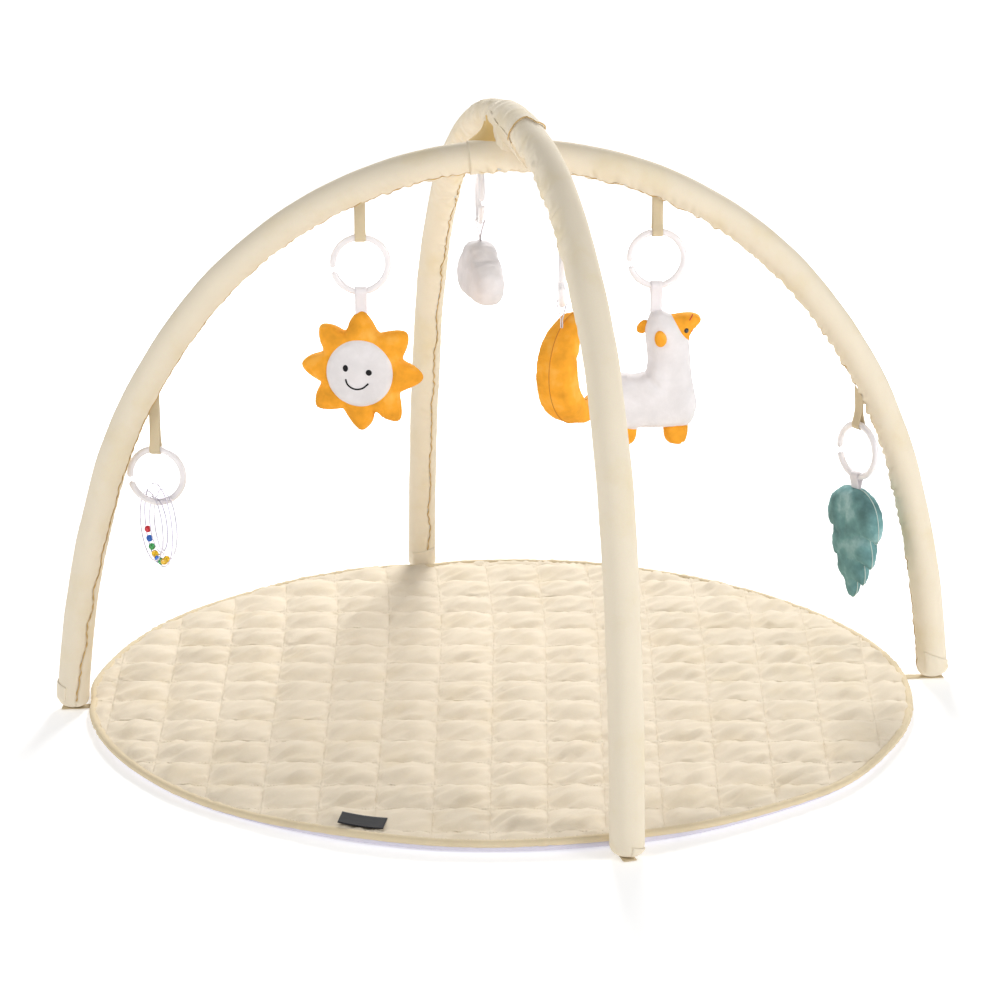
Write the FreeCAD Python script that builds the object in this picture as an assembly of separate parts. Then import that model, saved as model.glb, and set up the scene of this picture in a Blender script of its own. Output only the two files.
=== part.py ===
import FreeCAD, Part
import math
import os

# Activity play gym: a round quilted mat, two padded arches that cross over it, and six
# hanging toys. Millimetres, +Z up, origin at the centre of the mat on the floor.
# +X runs from the left foot to the right foot of the lower arch, and -Y is the front.

os.makedirs("parts", exist_ok=True)
V = FreeCAD.Vector
UP = V(0, 0, 1)
ORIGIN = V(0, 0, 0)

# ---- driving dimensions ----
# An arch is a row of tangent arcs from its crown to its foot. The first two arcs are
# (radius, degrees), and the last arc is worked out so that it ends at the foot.
LOWER = {"rise": 565.0, "foot": 452.0, "arcs": [(404.0, 47.8), (513.0, 25.8)], "turn": 0.0}
UPPER = {"rise": 601.0, "foot": 444.0, "arcs": [(530.0, 8.9), (389.0, 64.0)], "turn": 97.7}

TUBE_R = 16.0  # outside of the fabric sleeve
SLEEVE_T = 1.5
FOAM_R = 14.3
FOAM_BORE_R = 4.9
ROD_R = 3.5
FERRULE_R = 4.7
FERRULE_L = 70.0
ROD_CAP_R = 6.0
ROD_CAP_L = 14.0
FOOT_Z = 2.4  # floor to the underside of a foot, which stands on its mat tab
FOOT_END_L = 12.0
FOOT_ROUND = 7.0
FLAP_T = 1.0
FLAP_W = 24.0
FLAP_H = 20.0

MAT_R = 424.0
MAT_H = 15.0
BACKING_R = 421.0
BACKING_T = 3.0
COVER_T = 2.3
COVER_ROUND = 6.0
COVER_GAP = 0.2  # between the cover's rim and the binding
BINDING_W = 7.0
BINDING_H = 6.4
TAB_W = 14.0
TAB_T = 1.2
TAB_REACH = 12.0  # a tab ends this far past the foot's centre
LABEL_W, LABEL_L, LABEL_T = 44.0, 24.0, 0.6
LABEL_AT_R, LABEL_TURN = 400.0, 245.0

PATCH_W = 44.0
PATCH_T = 0.8
BAND_W = 46.0
BAND_T = 1.2
SKIN_GAP = 0.1  # between a sleeve and what is wrapped round it

RING_R = 27.6  # to the middle of the wire
WIRE_R = 3.4
RING_GAP_AT, RING_GAP = 190.0, 8.0  # degrees, seen from the front
LOOP_HOLE_R = 4.5
RIBBON_T = 1.0
LOOP_W = 11.0
RIBBON_W = 12.0
SLOT_H = 13.0  # from the wire to the point where a ribbon's two plies meet

# name: arch, place along it, height of the ring's centre, and how far the ring is turned
HANGERS = {
    "rattle": (LOWER, -358.5, 245.5, -15.0),
    "sun": (LOWER, -149.5, 458.0, 0.0),
    "llama": (LOWER, 149.5, 458.0, 0.0),
    "leaf": (LOWER, 363.0, 252.0, -62.0),
    "cloud": (UPPER, 130.0, 505.0, -9.0),
    "moon": (UPPER, -206.0, 484.0, -14.0),
}

RATTLE_R = 35.5
RATTLE_TUBE_R = 7.0
RATTLE_WALL = 1.2
RATTLE_TURN = -55.0  # against its C-ring
RATTLE_CLEAR = 0.5
BEAD_R = 3.6
BEADS = 8
BEAD_STEP = 15.0
BEADS_AT = 253.5  # where the middle of the row of beads has rolled to

SUN_R, SUN_T = 50.0, 28.0
SUN_RAYS, RAY_R, RAY_T, RAY_AT = 8, 14.0, 20.0, 47.0
SUN_DROP = 109.0  # from the ring's centre to the toy's centre
SUN_TURN = -15.0
FACE_R, FACE_T = 34.0, 1.2
EYE_R, FEATURE_T = 3.0, 0.6
EYE_AT = (13.0, 7.0)
SMILE_R, SMILE_WIRE, SMILE_SWEEP = 14.0, 0.9, 100.0

CLOUD_DROP, CLOUD_T, CLOUD_TURN = 84.0, 36.0, 9.0
MOON_DROP, MOON_R, MOON_HOLLOW_R, MOON_HOLLOW_AT = 94.0, 54.0, 43.0, 20.0
MOON_T, MOON_TURN = 36.0, -29.7
MOON_SHIFT, MOON_TILT = 30.0, 20.0  # it hangs by its thick side, with its opening tipped up
LEAF_DROP, LEAF_H, LEAF_HALF_W, LEAF_T = 101.0, 122.0, 44.0, 28.0
LEAF_TURN = -8.0  # against its C-ring

LLAMA_TOP = 406.0
LLAMA_BODY_T, LLAMA_NECK_T, LLAMA_LEG_T = 40.0, 30.0, 30.0
LLAMA_ROUND = 8.0
HOOF_H = 16.0


def save(shape, node):
    """Write one node, and say how large it is."""
    shape.exportStep("parts/" + node + ".step")
    box = shape.BoundBox
    print(
        "%-18s solids %d valid %s  volume %.1f  z %.2f..%.2f"
        % (node, len(shape.Solids), shape.isValid(), shape.Volume, box.ZMin, box.ZMax)
    )


def turned(shape, degrees, about=ORIGIN):
    """A copy of the shape turned about a vertical line."""
    copy = shape.copy()
    copy.rotate(about, UP, degrees)
    return copy


def joined(shapes):
    """One shape out of pieces that touch or overlap."""
    return shapes[0].fuse(shapes[1:]) if len(shapes) > 1 else shapes[0]


def block(x0, x1, y0, y1, z0, z1):
    return Part.makeBox(x1 - x0, y1 - y0, z1 - z0, V(x0, y0, z0))


def rounded(shape, radius, keep):
    """The shape with the edges that keep(edge) picks rounded off."""
    return shape.makeFillet(radius, [e for e in shape.Edges if keep(e)])


# ---- the arches ----
def arch_arcs(arch):
    """The arcs of one half arch, as (centre x, centre z, radius, start angle, sweep).

    An angle is how far the heading has turned down from level, in radians.
    """
    x, z, heading = 0.0, arch["rise"], 0.0
    arcs = []
    for radius, degrees in arch["arcs"]:
        sweep = math.radians(degrees)
        cx, cz = x - radius * math.sin(heading), z - radius * math.cos(heading)
        arcs.append((cx, cz, radius, heading, sweep))
        heading += sweep
        x, z = cx + radius * math.sin(heading), cz + radius * math.cos(heading)
    chord = math.hypot(arch["foot"] - x, z - FOOT_Z)
    half_turn = math.atan2(z - FOOT_Z, arch["foot"] - x) - heading
    radius = chord / (2 * math.sin(half_turn))
    cx, cz = x - radius * math.sin(heading), z - radius * math.cos(heading)
    arcs.append((cx, cz, radius, heading, 2 * half_turn))
    return arcs


def arch_length(arch):
    """The length of half an arch, from its crown to its foot."""
    return sum(radius * sweep for _, _, radius, _, sweep in arch_arcs(arch))


def stretch(arch, start, stop):
    """The arcs between two lengths from the crown."""
    done, found = 0.0, []
    for cx, cz, radius, angle, sweep in arch_arcs(arch):
        first = max(start - done, 0.0) / radius
        last = min((stop - done) / radius, sweep)
        if last > first:
            found.append((cx, cz, radius, angle + first, last - first))
        done += radius * sweep
    return found


def place(arch, length, side):
    """The point and the heading at a length from the crown, on one side."""
    cx, cz, radius, angle, sweep = stretch(arch, 0.0, length)[-1]
    end = angle + sweep
    point = V(side * (cx + radius * math.sin(end)), 0, cz + radius * math.cos(end))
    return point, V(side * math.cos(end), 0, -math.sin(end))


def tube(arch, outer, inner, start, stop, sides=(1, -1)):
    """A tube along the arch, between two lengths from its crown, before the arch turns."""
    pieces = []
    for side in sides:
        for cx, cz, radius, angle, sweep in stretch(arch, start, stop):
            point = V(side * (cx + radius * math.sin(angle)), 0, cz + radius * math.cos(angle))
            along = V(side * math.cos(angle), 0, -math.sin(angle))
            wires = [Part.Wire(Part.makeCircle(r, point, along)) for r in (outer, inner) if r]
            face = Part.Face(wires[0])
            if inner:
                face = face.cut(Part.Face(wires[1])).Faces[0]
            centre = V(side * cx, 0, cz)
            pieces.append(face.revolve(centre, V(0, 1, 0), side * math.degrees(sweep)))
    return joined(pieces)


def foot_end(arch, side):
    """The closed fabric end of a sleeve, as a rounded cup."""
    point, along = place(arch, arch_length(arch) - FOOT_END_L, side)
    cup = Part.makeCylinder(TUBE_R, FOOT_END_L, point, along)
    bottom = point + along * FOOT_END_L
    cup = rounded(cup, FOOT_ROUND, lambda e: e.CenterOfMass.distanceToPoint(bottom) < 1.0)
    hollow = Part.makeCylinder(TUBE_R - FOOT_ROUND, FOOT_END_L - SLEEVE_T, point, along)
    return cup.cut(hollow)


def foot_flap(arch, side):
    """The closing flap, a curved patch on the inner side of the sleeve above its end."""
    start = arch_length(arch) - FOOT_END_L - FLAP_H
    stop = arch_length(arch) - FOOT_END_L
    inner_r = TUBE_R + SKIN_GAP
    wrap = tube(arch, inner_r + FLAP_T, inner_r, start, stop, (side,))
    near = side * (arch["foot"] - TUBE_R - 5 * FLAP_T)
    far = side * (arch["foot"] - TUBE_R / 2)
    half = FLAP_W / 2
    window = block(min(near, far), max(near, far), -half, half, 0, 2 * FLAP_H + FOOT_END_L)
    return wrap.common(window)


def make_arch(arch, name, sides):
    """The sleeve, padding and pole of one arch."""
    length = arch_length(arch)
    sleeve_end = length - FOOT_END_L
    cap_start = sleeve_end - ROD_CAP_L / 2
    parts = {
        name + "_sleeve": tube(arch, TUBE_R, TUBE_R - SLEEVE_T, 0, sleeve_end),
        name + "_foam": tube(arch, FOAM_R, FOAM_BORE_R, 0, cap_start - 1),
        name + "_ferrule": tube(arch, FERRULE_R, ROD_R + 0.1, 0, FERRULE_L / 2),
    }
    for side, word in zip((1, -1), sides):
        parts[name + "_rod_" + word] = tube(arch, ROD_R, 0, 0.2, cap_start, (side,))
    caps, ends, flaps = [], [], []
    for side in (1, -1):
        point, along = place(arch, cap_start, side)
        caps.append(Part.makeCylinder(ROD_CAP_R, ROD_CAP_L, point, along))
        ends.append(foot_end(arch, side))
        flaps.append(foot_flap(arch, side))
    parts[name + "_rod_caps"] = Part.makeCompound(caps)
    parts[name + "_foot_ends"] = Part.makeCompound(ends)
    parts[name + "_foot_flaps"] = Part.makeCompound(flaps)
    for node, shape in parts.items():
        save(turned(shape, arch["turn"]), node)


def make_crossing():
    """A band round the upper arch, and the patch under it that is sewn to the lower one."""
    inner_r = TUBE_R + SKIN_GAP
    patch = tube(LOWER, inner_r + PATCH_T, inner_r, 0, PATCH_W / 2)
    wide = 2 * TUBE_R
    upper_half = block(-PATCH_W, PATCH_W, -wide, wide, LOWER["rise"], LOWER["rise"] + wide)
    save(patch.common(upper_half), "crossing_patch")
    band = tube(UPPER, inner_r + BAND_T, inner_r, 0, BAND_W / 2)
    save(turned(band, UPPER["turn"]), "crossing_band")


# ---- loops, rings and ribbons ----
def teardrop(radius, height, direction):
    """A round end with straight sides to a point, in the Y-Z plane about the origin."""
    tangent = math.acos(radius / height)
    y, z = radius * math.sin(tangent), direction * radius * math.cos(tangent)
    point = V(0, 0, direction * height)
    round_end = Part.Arc(V(0, y, z), V(0, 0, -direction * radius), V(0, -y, z)).toShape()
    sides = [Part.makeLine(V(0, -y, z), point), Part.makeLine(point, V(0, y, z))]
    return Part.Face(Part.Wire([round_end] + sides))


def strap(width, length, direction):
    """A ribbon folded round a wire at the origin: up from it (1), or down from it (-1)."""
    outer = teardrop(LOOP_HOLE_R + RIBBON_T, SLOT_H + 4 * RIBBON_T, direction)
    slot = teardrop(LOOP_HOLE_R, SLOT_H, direction)
    plies = block(-width / 2, width / 2, -RIBBON_T, RIBBON_T, 0, length)
    if direction < 0:
        plies.translate(V(0, 0, -length))
    solids = [face.extrude(V(width, 0, 0)) for face in (outer, slot)]
    for solid in solids:
        solid.translate(V(-width / 2, 0, 0))
    return joined([solids[0], plies]).cut(solids[1]).removeSplitter()


def hang(shape, name, z=None, turn=0.0):
    """Move a shape made about the ring's centre, or about a height on its line, into place."""
    arch, along, ring_z, ring_turn = HANGERS[name]
    copy = turned(shape, turn + ring_turn)
    copy.translate(V(along, 0, ring_z if z is None else z))
    return turned(copy, arch["turn"])


def make_ring(name):
    """The C-shaped ring, in the plane of its arch."""
    start = math.radians(RING_GAP_AT + RING_GAP / 2)
    point = V(RING_R * math.cos(start), 0, RING_R * math.sin(start))
    along = V(-math.sin(start), 0, math.cos(start))
    section = Part.Face(Part.Wire(Part.makeCircle(WIRE_R, point, along)))
    return hang(section.revolve(ORIGIN, V(0, -1, 0), 360 - RING_GAP), name)


def make_loop(name, sleeve):
    """The fabric loop that is sewn under the arch and holds the ring."""
    _, _, ring_z, _ = HANGERS[name]
    loop = hang(strap(LOOP_W, 90.0, 1), name, ring_z + RING_R)
    pieces = loop.cut(sleeve).Solids
    return min(pieces, key=lambda solid: solid.BoundBox.ZMin)


def make_ribbon(name, body):
    """The ribbon that is sewn into the toy's top seam and goes round the ring."""
    _, _, ring_z, _ = HANGERS[name]
    ribbon = hang(strap(RIBBON_W, 60.0, -1), name, ring_z - RING_R)
    pieces = ribbon.cut(body).Solids
    return max(pieces, key=lambda solid: solid.BoundBox.ZMax)


# ---- toys, each made about its own centre with its face to -Y ----
def disc(radius, thickness, x=0.0, z=0.0, y=0.0):
    """A disc that faces the front, centred on y."""
    return Part.makeCylinder(radius, thickness, V(x, y - thickness / 2, z), V(0, 1, 0))


def sun_parts():
    pieces = [rounded(disc(SUN_R, SUN_T), 9.0, lambda e: e.Length > SUN_R)]
    for n in range(SUN_RAYS):
        angle = 2 * math.pi * n / SUN_RAYS
        pieces.append(disc(RAY_R, RAY_T, RAY_AT * math.cos(angle), RAY_AT * math.sin(angle)))
    face_y = -(SUN_T + FACE_T) / 2
    feature_y = face_y - (FACE_T + FEATURE_T) / 2
    eye_x, eye_z = EYE_AT
    features = [disc(EYE_R, FEATURE_T, side * eye_x, eye_z, feature_y) for side in (-1, 1)]
    slope = math.radians(SMILE_SWEEP / 2)
    corner = V(-SMILE_R * math.sin(slope), 0, -SMILE_R * math.cos(slope))
    along = V(math.cos(slope), 0, -math.sin(slope))
    thread = Part.Face(Part.Wire(Part.makeCircle(SMILE_WIRE, corner, along)))
    smile = thread.revolve(ORIGIN, V(0, -1, 0), SMILE_SWEEP)
    smile.translate(V(0, feature_y - SMILE_WIRE, 0))
    face = disc(FACE_R, FACE_T, 0, 0, face_y)
    return joined(pieces), face, Part.makeCompound(features + [smile])


def cloud_body():
    puffs = [(0, 4, 32), (-30, -6, 24), (30, -6, 24)]
    return joined([disc(r, CLOUD_T, x, z) for x, z, r in puffs])


def moon_body():
    body = disc(MOON_R, MOON_T).cut(disc(MOON_HOLLOW_R, MOON_T * 2, MOON_HOLLOW_AT))
    body.rotate(ORIGIN, V(0, 1, 0), -MOON_TILT)
    body.translate(V(MOON_SHIFT, 0, 0))
    return body


def leaf_body():
    top, tip = V(0, 0, LEAF_H / 2), V(0, 0, -LEAF_H / 2)
    shoulder = LEAF_H / 5
    right = Part.Arc(top, V(LEAF_HALF_W, 0, shoulder / 2), tip).toShape()
    left = Part.Arc(tip, V(-LEAF_HALF_W, 0, shoulder / 2), top).toShape()
    leaf = Part.Face(Part.Wire([right, left])).extrude(V(0, LEAF_T, 0))
    leaf.translate(V(0, -LEAF_T / 2, 0))
    return leaf


def llama_parts():
    """The llama about the line that it hangs on, facing +X, with its height from LLAMA_TOP."""
    half = LLAMA_BODY_T / 2
    torso = rounded(block(-54, 48, -half, half, -122, -62), LLAMA_ROUND, lambda e: True)
    neck_half = LLAMA_NECK_T / 2
    neck = rounded(block(-6, 40, -neck_half, neck_half, -90, 0), LLAMA_ROUND, lambda e: True)
    leg_half = LLAMA_LEG_T / 2
    legs, hooves = [], []
    for x0, x1 in ((-48, -20), (13, 41)):
        legs.append(block(x0, x1, -leg_half, leg_half, -132, -110))
        hooves.append(block(x0, x1, -leg_half, leg_half, -132 - HOOF_H, -132))
    muzzle = block(40, 52, -11, 11, -28, -6)
    ears = [block(-10, -6, -15, -4, -24, -10), block(-10, -6, 4, 15, -24, -10)]
    eyes = [disc(2.2, 0.8, 30, -17, side * (neck_half + 0.4)) for side in (-1, 1)]
    return {
        "llama_body": joined([torso, neck] + legs),
        "llama_muzzle": muzzle,
        "llama_ears": Part.makeCompound(ears),
        "llama_feet": Part.makeCompound(hooves),
        "llama_eyes": Part.makeCompound(eyes),
    }


def make_rattle():
    """A clear hollow ring in two welded halves, linked through its C-ring, with beads."""
    _, _, ring_z, _ = HANGERS["rattle"]
    centre_z = ring_z - RING_R + WIRE_R + RATTLE_CLEAR + RATTLE_TUBE_R - RATTLE_R
    outer = Part.makeTorus(RATTLE_R, RATTLE_TUBE_R, ORIGIN, V(0, 1, 0))
    inner = Part.makeTorus(RATTLE_R, RATTLE_TUBE_R - RATTLE_WALL, ORIGIN, V(0, 1, 0))
    wide = RATTLE_R + 2 * RATTLE_TUBE_R
    for word, y0, y1 in (("front", -wide, 0), ("back", 0, wide)):
        half = block(-wide, wide, y0, y1, -wide, wide)
        shell = outer.common(half).cut(inner)
        save(hang(shell, "rattle", centre_z, RATTLE_TURN), "rattle_shell_" + word)
    track = RATTLE_R + RATTLE_TUBE_R - RATTLE_WALL - BEAD_R - 0.2
    beads = []
    for n in range(BEADS):
        angle = math.radians(BEADS_AT + BEAD_STEP * (n - (BEADS - 1) / 2))
        centre = V(track * math.cos(angle), 0, track * math.sin(angle))
        beads.append(Part.makeSphere(BEAD_R, centre))
    save(hang(Part.makeCompound(beads), "rattle", centre_z, RATTLE_TURN), "rattle_beads")


def make_toys():
    sun, face, features = sun_parts()
    sun_z = HANGERS["sun"][2] - SUN_DROP
    bodies = {
        "sun": hang(sun, "sun", sun_z, SUN_TURN),
        "cloud": hang(cloud_body(), "cloud", HANGERS["cloud"][2] - CLOUD_DROP, CLOUD_TURN),
        "moon": hang(moon_body(), "moon", HANGERS["moon"][2] - MOON_DROP, MOON_TURN),
        "leaf": hang(leaf_body(), "leaf", HANGERS["leaf"][2] - LEAF_DROP, LEAF_TURN),
    }
    save(hang(face, "sun", sun_z, SUN_TURN), "sun_face")
    save(hang(features, "sun", sun_z, SUN_TURN), "sun_features")
    for node, shape in llama_parts().items():
        placed = hang(shape, "llama", LLAMA_TOP)
        if node == "llama_body":
            bodies["llama"] = placed
        else:
            save(placed, node)
    for name, body in bodies.items():
        save(body, name + "_body")
        save(make_ribbon(name, body), name + "_ribbon")


def make_hangers():
    filled = {}
    for arch in (LOWER, UPPER):
        sleeve = tube(arch, TUBE_R, 0, 0, arch_length(arch) - FOOT_END_L)
        filled[arch["turn"]] = turned(sleeve, arch["turn"])
    for name, (arch, _, _, _) in HANGERS.items():
        save(make_loop(name, filled[arch["turn"]]), "loop_" + name)
        save(make_ring(name), "ring_" + name)


# ---- the mat ----
def make_mat():
    """The mat from its underside up: backing, wadding, quilted cover, binding, label, tabs."""
    backing = Part.makeCylinder(BACKING_R, BACKING_T)
    save(backing, "mat_backing")
    cover_r = MAT_R - BINDING_W - COVER_GAP
    padding_r = cover_r - COVER_T
    room = Part.makeCylinder(padding_r, MAT_H - COVER_T - BACKING_T, V(0, 0, BACKING_T))
    save(room, "mat_padding")
    cover = Part.makeCylinder(cover_r, MAT_H - BACKING_T, V(0, 0, BACKING_T))
    top_z = MAT_H - 1
    cover = rounded(cover, COVER_ROUND, lambda e: e.CenterOfMass.z > top_z and e.Length > MAT_R)
    save(cover.cut(room), "mat_top_cover")
    ring = Part.makeCylinder(MAT_R, BINDING_H, V(0, 0, BACKING_T + SKIN_GAP))
    bore = Part.makeCylinder(MAT_R - BINDING_W, BINDING_H, V(0, 0, BACKING_T + SKIN_GAP))
    save(ring.cut(bore), "mat_binding")
    label = block(-LABEL_L / 2, LABEL_L / 2, -LABEL_W / 2, LABEL_W / 2, 0, LABEL_T)
    label.translate(V(LABEL_AT_R, 0, MAT_H))
    save(turned(label, LABEL_TURN), "mat_label")
    for arch, sides in ((LOWER, ("right", "left")), (UPPER, ("back", "front"))):
        for half_turn, word in zip((0, 180), sides):
            tab_end = arch["foot"] + TAB_REACH
            tab = block(BACKING_R - TAB_T, tab_end, -TAB_W / 2, TAB_W / 2, 0, TAB_T)
            save(turned(tab.cut(backing), arch["turn"] + half_turn), "mat_tab_" + word)


make_mat()
make_arch(LOWER, "lower", ("right", "left"))
make_arch(UPPER, "upper", ("back", "front"))
make_crossing()
make_hangers()
make_rattle()
make_toys()
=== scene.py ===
import math

import bpy
import numpy as np
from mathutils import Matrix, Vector
from mathutils.bvhtree import BVHTree
from mathutils.geometry import delaunay_2d_cdt


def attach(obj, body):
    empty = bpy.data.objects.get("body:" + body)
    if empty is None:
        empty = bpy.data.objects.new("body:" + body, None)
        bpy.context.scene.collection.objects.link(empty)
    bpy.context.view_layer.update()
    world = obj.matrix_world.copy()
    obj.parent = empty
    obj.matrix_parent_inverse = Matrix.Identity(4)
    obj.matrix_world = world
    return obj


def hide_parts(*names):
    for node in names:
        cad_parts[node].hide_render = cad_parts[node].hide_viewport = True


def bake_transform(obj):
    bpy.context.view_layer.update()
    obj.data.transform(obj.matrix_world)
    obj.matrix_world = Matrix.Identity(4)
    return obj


# The looks of an activity play gym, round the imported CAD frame: a quilted mat, two fabric
# covered arches, and six toys on C-shaped rings. Metres, in the frame of the CAD part.

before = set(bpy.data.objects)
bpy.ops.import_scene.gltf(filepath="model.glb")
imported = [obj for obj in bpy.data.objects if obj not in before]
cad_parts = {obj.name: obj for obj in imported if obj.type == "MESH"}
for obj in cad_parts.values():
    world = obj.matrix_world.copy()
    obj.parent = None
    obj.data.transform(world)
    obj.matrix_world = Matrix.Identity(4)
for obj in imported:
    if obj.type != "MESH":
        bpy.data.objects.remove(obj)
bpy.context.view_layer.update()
MM = 0.001
TAU = 2 * math.pi

# ---- the arches, as in the CAD source ----
TUBE_R = 16.0 * MM
FOOT_Z = 2.4 * MM
CROSS_TURN = 97.7  # degrees from the lower arch to the upper arch
LOWER = {"rise": 0.565, "foot": 0.452, "arcs": [(0.404, 47.8), (0.513, 25.8)], "turn": 0.0}
UPPER = {"rise": 0.601, "foot": 0.444, "arcs": [(0.530, 8.9), (0.389, 64.0)], "turn": CROSS_TURN}

# ---- rings and toys: the arch's turn, the place along it, the ring's height, the turns of
# the ring and of the toy, the toy's middle below the ring's, and the toy's top above its middle ----
RING_R, WIRE_R = 27.6 * MM, 3.4 * MM
RATTLE_R, RATTLE_TUBE = 35.5 * MM, 7.0 * MM
RATTLE_DROP = RING_R - WIRE_R - 0.5 * MM - RATTLE_TUBE + RATTLE_R
HANGERS = {
    "rattle": (0.0, -0.3585, 0.2455, -15.0, -70.0, RATTLE_DROP, None),
    "sun": (0.0, -0.1495, 0.458, 0.0, -15.0, 0.109, 0.061),
    "llama": (0.0, 0.1495, 0.458, 0.0, 0.0, 0.052, 0.0),
    "leaf": (0.0, 0.363, 0.252, -62.0, -70.0, 0.101, 0.061),
    "cloud": (CROSS_TURN, 0.130, 0.505, 88.7, 97.7, 0.084, 0.036),
    "moon": (CROSS_TURN, -0.206, 0.484, 83.7, 54.0, 0.094, 0.048),
}
LOOP_TWIST = {"leaf": 30.0}
PANEL_STEP = 2.3 * MM  # the spacing of points over a stuffed toy's panels
FACE_R = 34 * MM  # the sun's face

# ---- the mat ----
QUILT_TURN = 5.98  # degrees from the arches to the quilting's rows
PITCH, ROW_PITCH = 56.2 * MM, 58.0 * MM
PITCH_SPREAD = 0.009  # how much wider the columns are, for each metre to the back
BACK_BEND = 0.12  # how much the columns lean to the left towards the back, per metre squared
COLUMN_AT, ROW_AT = -9.5 * MM, 2.0 * MM
GRID_AT = np.array([-7.7, 5.7]) * MM
QUILT_REACH = 8  # rows and columns to each side of the middle
CELL, WADDING_CELL = 18, 4  # quads along each side of a quilted square
GIVE = 1.3 * MM  # how far the simulation may move the cover from its puffed shape
MAT_AT = np.array([-8.0, 4.0]) * MM
COVER_R, MAT_R = 421.0 * MM, 427.5 * MM
SEAM_Z, EDGE_Z, COVER_TOP = 8.8 * MM, 9.0 * MM, 19.0 * MM
PUFF = 7.6 * MM
FEET = {"right": (0.0, 0.452), "left": (180.0, 0.452), "back": (CROSS_TURN, 0.444),
        "front": (CROSS_TURN + 180.0, 0.444)}
LABEL_AT, LABEL_TURN = [-0.173, -0.370], -15.0

# ---- colours, linear ----
CREAM = (0.80, 0.71, 0.56)
CREAM_DEEP = (0.77, 0.66, 0.46)
QUILT_CREAM = (0.79, 0.69, 0.54)
SEAM_BROWN = (0.60, 0.40, 0.16)
TAPE = (0.66, 0.55, 0.37)
ORANGE = (0.95, 0.40, 0.035)
TEAL = (0.17, 0.34, 0.34)
PLUSH_WHITE = (0.80, 0.77, 0.78)
RIBBON_WHITE = (0.84, 0.80, 0.82)
BACKING = (0.70, 0.67, 0.77)
RING_WHITE = (0.95, 0.91, 0.925)
BLACK = (0.012, 0.012, 0.014)
BEAD_COLOURS = {"red": (0.80, 0.02, 0.04), "blue": (0.02, 0.16, 0.70),
                "green": (0.05, 0.40, 0.10), "yellow": (0.95, 0.58, 0.01)}


# ================================ small tools ================================
def waves(points, wavelength, seed, count=20):
    """Smooth noise of about -1 to 1, as plane waves in seeded directions."""
    if isinstance(points, tuple):
        points = np.stack(np.broadcast_arrays(*points), -1)
    rng = np.random.default_rng(seed)
    directions = rng.normal(size=(points.shape[-1], count))
    directions /= np.linalg.norm(directions, axis=0)
    steps = TAU / (wavelength * rng.uniform(0.7, 1.4, count))
    phases = rng.uniform(0, TAU, count)
    return np.cos(points @ (directions * steps) + phases).sum(-1) / math.sqrt(count)


def turned(points, degrees):
    """Points turned about the vertical."""
    a = math.radians(degrees)
    x, y = points[..., 0], points[..., 1]
    c, s = math.cos(a), math.sin(a)
    return np.stack([x * c - y * s, x * s + y * c, points[..., 2]], -1)


def unit(v):
    return v / np.maximum(np.linalg.norm(v, axis=-1, keepdims=True), 1e-12)


def bell(x, width, power=2):
    """1 where x is 0, falling smoothly to 0 some widths away."""
    return np.exp(-(x / width) ** power)


def angle_gap(a, b):
    """The signed angle from b to a, within half a turn."""
    return (a - b + math.pi) % TAU - math.pi


def facing(angle, degrees, width, power=2):
    """A bell of an angle, about a direction in degrees."""
    return bell(angle_gap(angle, math.radians(degrees)), width, power)


def round_turn(count):
    """Angles evenly round a circle."""
    return np.arange(count) * TAU / count


def grid_of(a, b):
    return np.meshgrid(a, b, indexing="ij")


def grid_faces(rows, cols, wrap_rows=False, wrap_cols=False, flip=False):
    """Quads over a grid of rows x cols points, numbered row by row."""
    last_row, last_col = rows - (not wrap_rows), cols - (not wrap_cols)
    i, j = (a.ravel() for a in grid_of(range(last_row), range(last_col)))
    ni, nj = (i + 1) % rows, (j + 1) % cols
    quads = np.stack([i * cols + j, i * cols + nj, ni * cols + nj, ni * cols + j], 1)
    return quads[:, ::-1] if flip else quads


def shell(grid, wrap_rows=False, wrap_cols=False, flip=False):
    """(points, faces) of a surface through a grid of points."""
    return grid.reshape(-1, 3), grid_faces(*grid.shape[:2], wrap_rows, wrap_cols, flip)


def joined(parts):
    """One (points, faces) out of several."""
    points, faces, start = [], [], 0
    for p, f in parts:
        points.append(p)
        faces += [[int(v) + start for v in face] for face in f]
        start += len(p)
    return np.concatenate(points), faces


def slab(outer, inner):
    """A closed (points, faces) between two grids of points, the first one facing outward."""
    rows, cols = outer.shape[:2]
    points, faces = joined([shell(outer), shell(inner, flip=True)])
    ring = [(0, j) for j in range(cols)] + [(i, cols - 1) for i in range(1, rows)]
    ring += [(rows - 1, j) for j in range(cols - 2, -1, -1)] + [(i, 0) for i in range(rows - 2, 0, -1)]
    ring = [i * cols + j for i, j in ring]
    for a, b in zip(ring, ring[1:] + ring[:1]):
        faces.append([b, a, a + rows * cols, b + rows * cols])
    return points, faces


def split(points, faces, chosen):
    """The chosen faces as their own (points, faces)."""
    used = np.unique(faces[chosen])
    order = np.full(len(points), -1)
    order[used] = np.arange(len(used))
    return points[used], order[faces[chosen]]


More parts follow.
